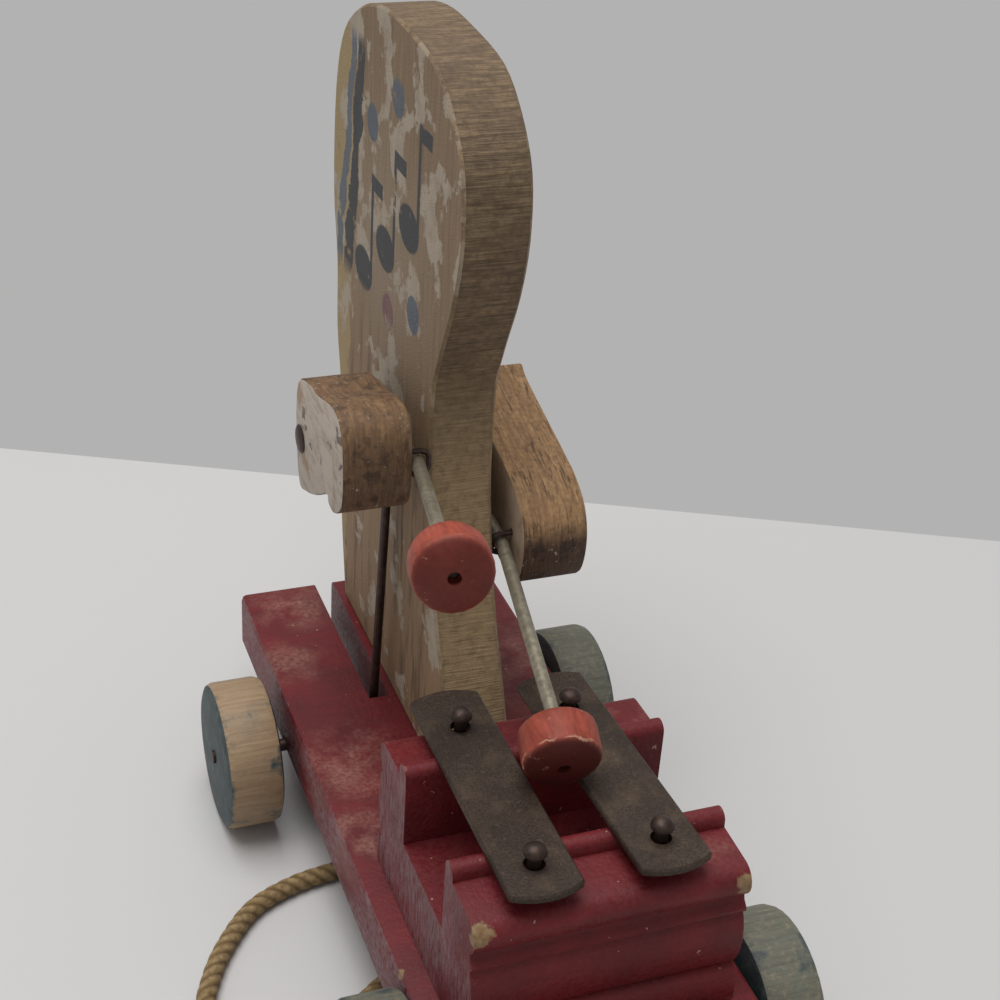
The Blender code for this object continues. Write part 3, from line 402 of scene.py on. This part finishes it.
def figure_pine():
    material, tree, shader = new_finish("band-sawn pine with worn paper print", 0.72)
    wood, marks, sides, edges = sawn_wood(tree, FIGURE_SAW, "#5d4a36", "#947c5c", "#756049", "#937a5f")
    place = node(tree, "ShaderNodeTexCoord").outputs["Object"]
    _, y, z = node(tree, "ShaderNodeSeparateXYZ", {0: place}).outputs
    beside = beside_middle(tree)
    facing = node(tree, "ShaderNodeMath", {0: beside}, operation="SIGN").outputs[0]
    beside = node(tree, "ShaderNodeMath", {0: beside}, operation="ABSOLUTE").outputs[0]
    corner = node(tree, "ShaderNodeMapRange", {0: beside, 1: FIGURE_HALF - CORNER_WEAR,
                                               2: FIGURE_HALF}).outputs[0]
    eased = node(tree, "ShaderNodeMath", {0: sides, 1: 0.43, 2: 0.4}, operation="COMPARE").outputs[0]
    frayed = mottle(tree, 3.0, 0.38, 0.6, detail=6.0, offset=5.0)
    patches = mottle(tree, 14.0, 0.4, 0.58, detail=5.0, offset=8.8)
    runs = mottle(tree, 9.0, 0.53, 0.64, (1.0, 1.6, 0.22), 7.0, 4.7)
    weather = mottle(tree, 2.4, 0.46, 0.66, detail=8.0, offset=7.1)
    stain = mottle(tree, 5.0, 0.45, 0.7, detail=7.0, offset=1.7)
    kept = mottle(tree, 9.0, 0.32, 0.38, detail=8.0, offset=3.1)
    wobble = mottle(tree, 12.0, 0.0, 1.0, detail=8.0, offset=6.3)
    # Below these heights the figure is painted lighter, as painted light on its low faces; stain runs gather in
    # the same zone.
    painted_light_and_stains_below = node(tree, "ShaderNodeMapRange", {0: z, 1: PAINTED_LIGHT_AND_STAINS_BELOW[0], 2: PAINTED_LIGHT_AND_STAINS_BELOW[1]}).outputs[0]
    paper, straw, bloom = paper_masks(tree, place, y, z, wobble)
    printed, ink, band, blue, rose = print_masks(tree, y, z, facing, wobble)
    colour = layered(tree, wood, (
        # The first two layers are painted light on the lower part; the third is the stain runs there.
        ((edges, painted_light_and_stains_below), 0.65, "#b0966f"), ((sides, painted_light_and_stains_below), 0.35, "#a3825f"),
        ((sides, painted_light_and_stains_below, runs), 0.75, "#4e3a2a"), ((edges, weather), 0.35, "#3f3024"),
        ((edges, corner, frayed), 0.6, "#46362a"), ((eased, frayed, patches), 0.7, "#a8916e"),
        ((sides, straw, kept), 0.8, "#a8936a"), ((sides, bloom), 0.35, "#a89a86"),
        ((sides, paper), 0.9, "#b0a391"), ((sides, paper, stain), 0.5, "#857260"),
        ((sides, printed, kept, ink), 0.95, "#3a3d41"), ((sides, printed, kept, band), 0.9, "#5b6773"),
        ((sides, printed, kept, blue), 0.9, "#55616d"), ((sides, printed, kept, rose), 0.9, "#7c5659")))
    height = node(tree, "ShaderNodeMath", {0: paper, 1: 0.6, 2: marks}, operation="MULTIPLY_ADD").outputs[0]
    coat(tree, shader, colour, height, 0.0003, 0.5)
    return material


figure_wood = figure_pine()
print("made", figure_wood.name, "with", len(figure_wood.node_tree.nodes), "nodes")

# %% Pine of the arms
ARM_MIDDLE, ARM_CHANGE = 0.025, 0.001


def arm_pine():
    material, tree, shader = new_finish("band-sawn pine of the arms", 0.72)
    wood, marks, sides, edges = sawn_wood(tree, ARM_SAW, "#94704c", "#c29a6d", "#8c745d", "#ab9175")
    grip = node(tree, "ShaderNodeAttribute", attribute_name="grip").outputs["Fac"]
    dirt = mottle(tree, 12.0, 0.12, 0.46, (3.0, 1.0, 0.7), 6.0, 1.1)
    spots = mottle(tree, 5.0, 0.53, 0.6, detail=6.0, offset=3.4)
    flecks = mottle(tree, 1.8, 0.665, 0.69, detail=3.0, offset=6.1)
    scraps = mottle(tree, 12.0, 0.36, 0.44, detail=9.0, offset=0.9)
    speck = mottle(tree, 6.0, 0.62, 0.66, detail=4.0, offset=4.2)
    scratch = mottle(tree, 5.0, 0.5, 0.64, (1.0, 0.4, 1.8), 7.0, 5.9)
    dashes = mottle(tree, 5.0, 0.54, 0.62, (7.0, 0.9, 0.9), 3.0, 8.3)
    zones = mottle(tree, 14.0, 0.4, 0.56, detail=3.0, offset=9.2)
    beside = node(tree, "ShaderNodeMath", {0: beside_middle(tree)}, operation="ABSOLUTE").outputs[0]
    outer = node(tree, "ShaderNodeMapRange", {0: beside, 1: ARM_MIDDLE, 2: ARM_MIDDLE + ARM_CHANGE,
                                              3: 0.25}).outputs[0]
    colour = layered(tree, wood, (
        ((edges, dashes, zones), 0.7, "#3f2b1d"), ((edges, grip, dirt), 0.9, "#442e22"),
        ((edges, grip, spots), 0.7, "#2b1d16"), ((edges, grip, flecks), 0.8, "#b3a595"),
        ((sides, outer, scraps), 0.9, "#bcb0a4"), ((sides, outer, scraps, scratch), 0.5, "#8b7660"),
        ((sides, outer, scraps, speck), 0.8, "#4a423c")))
    coat(tree, shader, colour, marks, 0.0003, 0.5)
    return material


arm_wood = arm_pine()
print("made", arm_wood.name)

# %% [markdown]
# ## Steel, iron and plating
# The tone bars are cold-rolled steel that has gone brown. Nails, staples and wires are dark iron with a bloom
# of rust, and the mallet rods keep a dull grey plating. All are one kind of surface with different colours,
# so one function makes them. The rust stops much of the shine, so none is fully metallic. The steel's own
# grain is too fine to show and is drawn about half a millimetre wide.

# %% Old metal
def old_metal(name, dark, light, rust, grain_mm, cloud_mm, roughness, metallic):
    material, tree, shader = new_finish(name, roughness, metallic)
    spots = mottle(tree, grain_mm, 0.35, 0.68, detail=8.0)
    cloud = mottle(tree, cloud_mm, 0.4, 0.65, detail=6.0, offset=0.6)
    dust = mottle(tree, 1.6, 0.6, 0.68, detail=3.0, offset=2.7)
    bloom = mottle(tree, 0.6 * cloud_mm, 0.5, 0.66, detail=8.0, offset=4.9)
    colour = layered(tree, linear(dark), (((spots,), 1.0, light), ((cloud,), 0.6, dark), ((bloom,), 0.26, rust),
                                          ((dust,), 0.3, rust)))
    coat(tree, shader, colour, spots, 0.0001, 0.25)
    return material


bar_steel = old_metal("browned cold-rolled steel", "#2e241d", "#54453a", "#74604b", 0.55, 14.0, 0.58, 0.5)
dark_iron = old_metal("rusty dark iron", "#372b28", "#58473f", "#5e4437", 2.0, 16.0, 0.5, 0.7)
grey_plating = old_metal("dull grey plating", "#7d7664", "#a9a291", "#8a7d66", 2.2, 18.0, 0.5, 0.6)
print("made", bar_steel.name + ",", dark_iron.name, "and", grey_plating.name)

# %% [markdown]
# ## Wheels
# Each wheel is sawn from a round of wood. Its flat sides keep a greyed teal paint. The treads are worn: one
# is bare and tan, the others keep a grey-green film. The grain runs straight across the tread. Tread and
# sides could be two materials, but the paint thins towards the rim, so one finish mixes them by the way the
# surface faces, with a ragged border.

# %% Wheel paint
CHAMFER_FACING = (0.72, 0.20)


def wheel_paint(name, tread_dark, tread_light):
    material, tree, shader = new_finish(name, 0.6)
    streaks = mottle(tree, 14.0, 0.3, 0.7, (0.7, 12.0, 12.0), 6.0, 0.6)
    stain = mottle(tree, 9.0, 0.48, 0.68, detail=8.0, offset=1.4)
    specks = mottle(tree, 1.6, 0.5, 0.7, detail=6.0, offset=2.4)
    tread = layered(tree, linear(tread_dark), (((streaks,), 1.0, tread_light), ((stain,), 0.4, "#5c6660"),
                                               ((specks,), 0.4, "#a39272")))
    cloud = mottle(tree, 7.0, 0.35, 0.7, detail=7.0)
    dust = mottle(tree, 3.0, 0.5, 0.66, detail=8.0, offset=3.3)
    flat = layered(tree, linear("#2b383a"), (((cloud,), 1.0, "#425053"), ((dust,), 0.18, "#8a8a80")))
    normal = node(tree, "ShaderNodeNewGeometry").outputs["Normal"]
    turn = node(tree, "ShaderNodeSeparateXYZ", {0: normal}).outputs[0]
    turn = node(tree, "ShaderNodeMath", {0: turn}, operation="ABSOLUTE").outputs[0]
    worn = node(tree, "ShaderNodeMath", {0: stain, 1: 0.5, 2: turn}, operation="MULTIPLY_ADD").outputs[0]
    painted = node(tree, "ShaderNodeMapRange", {0: worn, 1: 0.35, 2: 0.65}).outputs[0]
    colour = node(tree, "ShaderNodeMix", {0: painted, 6: tread, 7: flat}, data_type="RGBA").outputs[2]
    chamfer = node(tree, "ShaderNodeMath", {0: turn, 1: CHAMFER_FACING[0], 2: CHAMFER_FACING[1]},
                   operation="COMPARE").outputs[0]
    colour = layered(tree, colour, (((chamfer, specks), 0.4, "#9c9c90"), ((chamfer,), 0.2, "#9c9c90")))
    coat(tree, shader, colour, streaks, 0.0002, 0.4)
    return material


bare_wheel = wheel_paint("greyed teal paint, tread worn to the wood", "#8a7056", "#a98f70")
teal_wheel = wheel_paint("greyed teal paint, tread with a grey-green film", "#585a4f", "#747364")
print("made", bare_wheel.name, "and", teal_wheel.name)

# %% [markdown]
# ## Mallet paint
# The mallet heads are turned wood in a warm red. Their striking rim is rubbed pale, and the front is darkened
# as painted shade. The rims lean with the rods, so no axis of the world finds them. A number stored on the
# mesh, the distance along the head's own axis, tells the finish where the rim and the front are, and a second
# one how often the head hit its bar, which also sets how deep the painted shade on its front is.

# %% Mallet paint
MALLET_SHADED_FRONT, RIM, RIM_TORN = (0.0034, 0.0044), (0.0041, 0.00025), 0.0016


def mallet_paint():
    material, tree, shader = new_finish("semi-gloss red paint on turned wood", 0.55)
    shader.inputs["Specular IOR Level"].default_value = 0.3
    along = node(tree, "ShaderNodeAttribute", attribute_name="along").outputs["Fac"]
    struck_and_shaded = node(tree, "ShaderNodeAttribute", attribute_name="struck_and_shaded").outputs["Fac"]
    cloud = mottle(tree, 4.0, 0.35, 0.7, (2.4, 0.35, 2.4), 7.0)
    # The front face of the head is darkened as painted shade, deeper on the head that hit its bar more.
    front = node(tree, "ShaderNodeMapRange", {0: along, 1: MALLET_SHADED_FRONT[0], 2: MALLET_SHADED_FRONT[1]}).outputs[0]
    ragged = mottle(tree, 4.0, 0.3, 0.7, detail=7.0, offset=1.2)
    edge = node(tree, "ShaderNodeMath", {0: ragged, 1: RIM_TORN, 2: along}, operation="MULTIPLY_ADD").outputs[0]
    rim = node(tree, "ShaderNodeMath", {0: edge, 1: RIM[0], 2: RIM[1]}, operation="COMPARE").outputs[0]
    rubbed = mottle(tree, 6.0, 0.46, 0.58, detail=7.0, offset=2.2)
    specks = mottle(tree, 1.8, 0.64, 0.68, detail=4.0, offset=4.4)
    # Darker mottles: scuffs, and also painted shade that darkens the head as its shaded lower side does.
    scuffs_and_shade = mottle(tree, 12.0, 0.44, 0.62, detail=7.0, offset=6.6)
    colour = layered(tree, linear("#a8503d"), (
        ((cloud,), 1.0, "#84382b"), ((front,), 0.75, "#5e221c"), ((scuffs_and_shade,), 0.4, "#501c17"),
        # The first layer here is painted shade on the front; the second is the rim rubbed pale.
        ((front, struck_and_shaded), 0.8, "#4c1b17"), ((rim, rubbed, struck_and_shaded), 0.7, "#c79a80"),
        ((specks,), 0.35, "#b98a76")))
    coat(tree, shader, colour, cloud, 0.0001, 0.5)
    return material


mallet_red = mallet_paint()
print("made", mallet_red.name)

# %% [markdown]
# ## Jute
# Jute is a matt, straw-brown fibre. The strands' valleys are darker than their crowns, and fine fibres
# run along each strand. Real fibres are too thin to show, so they are drawn as a mottle of 1.6 mm. The sweep
# below stores on the mesh how near a point is to a strand's crown, and the finish reads that.

# %% Jute
def jute_fibre():
    material, tree, shader = new_finish("twisted jute", 0.95)
    fibres = mottle(tree, 1.6, 0.3, 0.7, detail=4.0)
    lie = node(tree, "ShaderNodeAttribute", attribute_name="crown").outputs["Fac"]
    strand = layered(tree, linear("#7d6643"), (((fibres,), 1.0, "#ad956d"),))
    colour = node(tree, "ShaderNodeMix", {0: lie, 6: linear("#665132"), 7: strand},
                  data_type="RGBA").outputs[2]
    coat(tree, shader, colour, fibres, 0.0003, 0.6)
    return material


jute = jute_fibre()
print("made", jute.name)

# %% [markdown]
# ## Smooth copies of the solids
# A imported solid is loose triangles, so a turned piece looks faceted. It could be modelled again, but it
# already has the right shape. A copy of it with its doubles merged can be shaded smooth, with sharp edges
# kept where the faces meet at more than 40 degrees. The copy rides with the same body and stands for the
# solid.

# %% Dress one solid
BODY_OF = {name: obj["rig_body"] for name, obj in nodes.items()}
SLOT_OF = {part["node"]: part["material_slot"] for part in frame["record"]["subparts"]}
SAME_POINT = 0.000002


def dress(name, material, sharp=40.0):
    shape = bmesh.new()
    shape.from_mesh(nodes[name].data)
    bmesh.ops.remove_doubles(shape, verts=shape.verts, dist=SAME_POINT)
    mesh = bpy.data.meshes.new(name + " dressed")
    shape.to_mesh(mesh)
    shape.free()
    if "custom_normal" in mesh.attributes:
        mesh.attributes.remove(mesh.attributes["custom_normal"])
    mesh.materials.append(material)
    mesh.shade_smooth()
    mesh.set_sharp_from_angle(angle=math.radians(sharp))
    piece = bpy.data.objects.new(name + "_dressed", mesh)
    bpy.context.scene.collection.objects.link(piece)
    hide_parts(name)
    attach(piece, BODY_OF[name])
    return piece


print("slots in use:", sorted(set(SLOT_OF.values())))

# %% Dress all but the cord and its knots
FINISH_OF_SLOT = {"tone_bar_steel": bar_steel, "dark_iron": dark_iron, "plated_steel": grey_plating,
                  "wheel_paint": teal_wheel, "mallet_paint": mallet_red, "bare_pine": arm_wood}
FINISH_OF_NODE = {"base_board": base_paint, "bar_stand": stand_paint, "figure_board": figure_wood,
                  "wheel_rear_left": bare_wheel}
dressed = {}
for name in sorted(nodes):
    if SLOT_OF[name] != "jute":
        finish = FINISH_OF_NODE.get(name) or FINISH_OF_SLOT[SLOT_OF[name]]
        dressed[name] = dress(name, finish)
print("dressed", len(dressed), "solids")

# %% Distance along each mallet head, how worn its rim is, and how deep its front's painted shade is
# How often each head hit its bar, which also sets how deep the painted shade on its front is.
STRUCK_AND_SHADED = {"left": 0.15, "right": 1.0}
RING_DEPTH, NECK_GAP = 0.0013, 0.003


def first_ring(points):
    front = min(point.y for point in points)
    ring = [point for point in points if point.y < front + RING_DEPTH]
    return sum(ring, Vector()) / len(ring)


for side in ("left", "right"):
    head = dressed["mallet_head_" + side].data
    points = [vert.co.copy() for vert in dressed["mallet_rod_" + side].data.vertices]
    tip = first_ring(points)
    neck = first_ring([point for point in points if point.y > tip.y + NECK_GAP])
    along = (tip - neck).normalized()
    reach = [vert.co.dot(along) for vert in head.vertices]
    store = head.attributes.new("along", "FLOAT", "POINT")
    hits_and_shade = head.attributes.new("struck_and_shaded", "FLOAT", "POINT")
    for vert in head.vertices:
        store.data[vert.index].value = reach[vert.index] - (min(reach) + max(reach)) / 2
        hits_and_shade.data[vert.index].value = STRUCK_AND_SHADED[side]
    print("mallet", side, "head is", round(1000 * (max(reach) - min(reach)), 1), "mm long")

# %% Where hands gripped the arms: below and ahead, and all over the left one
HANDLED = {"left": 0.65, "right": 0.0}
GRIP_TILT, GRIP_TURN = 0.45, 0.40
GRIP_START, GRIP_REACH = 0.016, 0.040
for side in ("left", "right"):
    mesh = dressed["arm_" + side].data
    back = max(vert.co.y for vert in mesh.vertices)
    store = mesh.attributes.new("grip", "FLOAT", "POINT")
    for vert in mesh.vertices:
        under = min(1.0, max(0.0, (GRIP_TILT - vert.normal.z) / GRIP_TURN))
        ahead = min(1.0, max(0.0, (back - vert.co.y - GRIP_START) / GRIP_REACH))
        store.data[vert.index].value = max(under * ahead, HANDLED[side])
print("grip stored on both arms")

# %% [markdown]
# ## The pull cord
# Jute cord is three strands twisted together. Three tubes could be wound round each other, but only their
# outer sides show. Each strand is a lobe of the cord's outline, and the outline turns as it goes along, so
# Geometry Nodes sweep a three-lobed profile along the cord's path with a growing tilt.

# %% The cord's path
CORD_RADIUS, PATH_STEPS = 0.0027, 6
CORD_ROUTE = (
    (0.0000, -0.1202, 0.03085), (0.0004, -0.1202, 0.0190), (0.0020, -0.1194, 0.0110),
    (0.0052, -0.1150, 0.0052), (0.0100, -0.1060, 0.0029), (0.0160, -0.0900, 0.0028),
    (0.0205, -0.0700, 0.0028), (0.0225, -0.0480, 0.0028), (0.0215, -0.0260, 0.0028),
    (0.0160, -0.0060, 0.0028), (0.0060, 0.0085, 0.0028), (-0.0080, 0.0160, 0.0028),
    (-0.0230, 0.0180, 0.0028), (-0.0360, 0.0160, 0.0028), (-0.0490, 0.0136, 0.0028),
    (-0.0620, 0.0076, 0.0028), (-0.0720, -0.0034, 0.0028), (-0.0790, -0.0150, 0.0028),
    (-0.0835, -0.0280, 0.0028), (-0.0810, -0.0420, 0.0028), (-0.0710, -0.0505, 0.0028),
    (-0.0580, -0.0480, 0.0028), (-0.0470, -0.0395, 0.0028), (-0.0360, -0.0314, 0.0028),
    (-0.0240, -0.0250, 0.0028), (-0.0110, -0.0220, 0.0028),
)


def smooth_path(points, steps):
    points = [Vector(point) + MID for point in points]
    padded = [2 * points[0] - points[1]] + points + [2 * points[-1] - points[-2]]
    path = []
    for before, start, end, after in zip(padded, padded[1:], padded[2:], padded[3:]):
        for step in range(steps):
            t = step / steps
            path.append(0.5 * (2 * start + (end - before) * t
                               + (2 * before - 5 * start + 4 * end - after) * t ** 2
                               + (3 * start - before - 3 * end + after) * t ** 3))
    return path + [points[-1]]


cord_path = smooth_path(CORD_ROUTE, PATH_STEPS)

# %% A tree that sweeps the strands along a path
STRAND_SIZES = {"Radius": CORD_RADIUS, "Twist pitch": 0.0125, "Strands": 3.0, "Step": 0.0009}
PROFILE_POINTS, VALLEY = 24, 0.87


def strand_tree():
    tree = bpy.data.node_groups.new("twisted cord", "GeometryNodeTree")
    tree.interface.new_socket("Geometry", in_out="INPUT", socket_type="NodeSocketGeometry")
    for label, value in STRAND_SIZES.items():
        made = tree.interface.new_socket(label, in_out="INPUT", socket_type="NodeSocketFloat")
        made.default_value = value
    tree.interface.new_socket("Geometry", in_out="OUTPUT", socket_type="NodeSocketGeometry")
    given = node(tree, "NodeGroupInput").outputs
    even = node(tree, "GeometryNodeResampleCurve", {"Curve": given[0], "Length": given["Step"]}, mode="LENGTH")
    travelled = node(tree, "GeometryNodeSplineParameter").outputs["Length"]
    turns = node(tree, "ShaderNodeMath", {0: travelled, 1: given["Twist pitch"]}, operation="DIVIDE")
    angle = node(tree, "ShaderNodeMath", {0: turns.outputs[0], 1: 2 * math.pi}, operation="MULTIPLY")
    tilted = node(tree, "GeometryNodeSetCurveTilt", {"Curve": even.outputs[0], "Tilt": angle.outputs[0]})
    circle = node(tree, "GeometryNodeCurvePrimitiveCircle", {"Resolution": PROFILE_POINTS, "Radius": 1.0})
    round_about = node(tree, "GeometryNodeSplineParameter").outputs["Factor"]
    lobes = node(tree, "ShaderNodeMath", {0: round_about, 1: given["Strands"]}, operation="MULTIPLY")
    wave = node(tree, "ShaderNodeMath", {0: lobes.outputs[0], 1: math.pi}, operation="MULTIPLY")
    wave = node(tree, "ShaderNodeMath", {0: wave.outputs[0]}, operation="SINE")
    crown = node(tree, "ShaderNodeMath", {0: wave.outputs[0]}, operation="ABSOLUTE")
    bulge = node(tree, "ShaderNodeMapRange", {0: crown.outputs[0], 3: VALLEY, 4: 1.0})
    size = node(tree, "ShaderNodeMath", {0: bulge.outputs[0], 1: given["Radius"]}, operation="MULTIPLY")
    here = node(tree, "GeometryNodeInputPosition").outputs[0]
    placed = node(tree, "ShaderNodeVectorMath", {0: here, "Scale": size.outputs[0]}, operation="SCALE")
    kept = node(tree, "GeometryNodeStoreNamedAttribute",
                {"Geometry": circle.outputs[0], "Name": "crown", "Value": crown.outputs[0]},
                data_type="FLOAT", domain="POINT")
    lobed = node(tree, "GeometryNodeSetPosition", {"Geometry": kept.outputs[0], "Position": placed.outputs[0]})
    swept = node(tree, "GeometryNodeCurveToMesh",
                 {"Curve": tilted.outputs[0], "Profile Curve": lobed.outputs[0], "Fill Caps": True})
    smooth = node(tree, "GeometryNodeSetShadeSmooth", {0: swept.outputs[0]})
    real = node(tree, "GeometryNodeRealizeInstances", {0: smooth.outputs[0]})
    coated = node(tree, "GeometryNodeSetMaterial", {"Geometry": real.outputs[0], "Material": jute})
    node(tree, "NodeGroupOutput", {0: coated.outputs[0]})
    return tree


cord_tree = strand_tree()
print("cord tree has", len(cord_tree.nodes), "nodes")

# %% Sweep the strands and keep the result as a plain mesh
def settled(carrier, name):
    depsgraph = bpy.context.evaluated_depsgraph_get()
    mesh = bpy.data.meshes.new_from_object(carrier.evaluated_get(depsgraph), depsgraph=depsgraph)
    mesh.name = name
    piece = bpy.data.objects.new(name, mesh)
    bpy.context.scene.collection.objects.link(piece)
    bpy.data.objects.remove(carrier, do_unlink=True)
    return piece


line = bpy.data.curves.new("cord line", "CURVE")
line.dimensions = "3D"
spline = line.splines.new("POLY")
spline.points.add(len(cord_path) - 1)
for point, place in zip(spline.points, cord_path):
    point.co = (*place, 1.0)
carrier = bpy.data.objects.new("cord carrier", line)
bpy.context.scene.collection.objects.link(carrier)
carrier.modifiers.new("strands", "NODES").node_group = cord_tree
cord = settled(carrier, "jute_pull_cord")
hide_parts("pull_cord")
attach(cord, BODY_OF["pull_cord"])
print("cord mesh has", len(cord.data.polygons), "faces")

# %% Knots at both ends
KNOT_CROWN = 0.7
for name in ("cord_knot_eye", "cord_knot_end"):
    knot = dress(name, jute, 60.0)
    store = knot.data.attributes.new("crown", "FLOAT", "POINT")
    for vert in knot.data.vertices:
        store.data[vert.index].value = KNOT_CROWN
    dressed[name] = knot

# %% [markdown]
# ## Floor, light and camera
# The toy stands on a pale table top in soft light from overhead. The table ends behind it. The wall could be
# a second sheet, but it would throw shade on the toy, so the world itself is a plain grey for the camera and
# for reflections, while it lights the toy in white.

# %% Table top
TABLE_EDGE, TABLE_TURN = Vector((0.0885, 0.2136, 0.0)), math.radians(-24.8)
TABLE_HALF, TABLE_DEPTH = 2.0, 3.0


def table_top():
    material, _, shader = new_finish("matt white table", 0.8)
    shader.inputs["Base Color"].default_value = linear("#cfcecd")
    along = Vector((math.cos(TABLE_TURN), math.sin(TABLE_TURN), 0.0)) * TABLE_HALF
    near = Vector((math.sin(TABLE_TURN), -math.cos(TABLE_TURN), 0.0)) * TABLE_DEPTH
    shape = bmesh.new()
    corners = (TABLE_EDGE - along, TABLE_EDGE - along + near, TABLE_EDGE + along + near, TABLE_EDGE + along)
    shape.faces.new([shape.verts.new(corner) for corner in corners])
    mesh = bpy.data.meshes.new("table top")
    shape.to_mesh(mesh)
    shape.free()
    mesh.materials.append(material)
    top = bpy.data.objects.new("table_top", mesh)
    bpy.context.scene.collection.objects.link(top)


table_top()
print("table laid,", 2 * TABLE_HALF, "by", TABLE_DEPTH, "m")

# %% World
ROOM_LIGHT, WALL = 0.36, "#b3b2b2"
world = bpy.data.worlds.new("soft room")
bpy.context.scene.world = world
world.use_nodes = True
tree = world.node_tree
tree.nodes.clear()
ray = node(tree, "ShaderNodeLightPath").outputs
seen = node(tree, "ShaderNodeMath", {0: ray["Is Camera Ray"], 1: ray["Is Glossy Ray"]},
            operation="MAXIMUM").outputs[0]
seen = node(tree, "ShaderNodeMath", {0: seen, 1: ray["Is Transmission Ray"]}, operation="MAXIMUM").outputs[0]
lit = node(tree, "ShaderNodeBackground", {"Color": (1.0, 1.0, 1.0, 1.0), "Strength": ROOM_LIGHT}).outputs[0]
wall = node(tree, "ShaderNodeBackground", {"Color": linear(WALL), "Strength": 1.0}).outputs[0]
both = node(tree, "ShaderNodeMixShader", {0: seen, 1: lit, 2: wall}).outputs[0]
node(tree, "ShaderNodeOutputWorld", {0: both})
print("world has", len(tree.nodes), "nodes")

# %% Ceiling lamp
LAMP_WIDTH, LAMP_DEPTH, LAMP_POWER = 1.2, 0.9, 15.5
LAMP_PLACE, LAMP_AIM = Vector((-0.2, 0.1, 1.4)), Vector((0.0, 0.0, 0.1))
lamp_data = bpy.data.lights.new("ceiling panel", "AREA")
lamp_data.shape = "RECTANGLE"
lamp_data.size = LAMP_WIDTH
lamp_data.size_y = LAMP_DEPTH
lamp_data.energy = LAMP_POWER
lamp = bpy.data.objects.new("ceiling panel", lamp_data)
lamp.location = LAMP_PLACE
lamp.rotation_euler = (LAMP_AIM - LAMP_PLACE).to_track_quat("-Z", "Y").to_euler()
bpy.context.scene.collection.objects.link(lamp)
print("lamp at", [round(v, 2) for v in lamp.location])

# %% Camera
AZIMUTH, ELEVATION, ROLL = (math.radians(a) for a in (-21.903, 30.740, 3.861))
TARGET = MID + Vector((0.06507, 0.15747, 0.03203))
DISTANCE, SENSOR, LENS_PER_WIDTH = 0.65727, 36.0, 1.79983
back = Vector((math.sin(AZIMUTH) * math.cos(ELEVATION), -math.cos(AZIMUTH) * math.cos(ELEVATION),
               math.sin(ELEVATION)))
level = Vector((math.cos(AZIMUTH), math.sin(AZIMUTH), 0.0))
upright = back.cross(level)
right = level * math.cos(ROLL) + upright * math.sin(ROLL)
up = upright * math.cos(ROLL) - level * math.sin(ROLL)
eye = bpy.data.cameras.new("photograph camera")
eye.sensor_fit = "HORIZONTAL"
eye.sensor_width = SENSOR
eye.lens = LENS_PER_WIDTH * SENSOR
eye.clip_start = 0.01
camera = bpy.data.objects.new("photograph camera", eye)
turn = Matrix((right, up, back)).transposed().to_4x4()
camera.matrix_world = Matrix.Translation(TARGET + back * DISTANCE) @ turn
bpy.context.scene.collection.objects.link(camera)
bpy.context.scene.camera = camera
bpy.context.scene.view_settings.view_transform = "Standard"
print("camera", round(DISTANCE * 1000), "mm from the spot it looks at")

# %% [markdown]
# ## Size and finish
# The dressed toy has to stay as large as its solids; its dressed copies keep the solids' shapes.

# %% Finish
print("scene set")
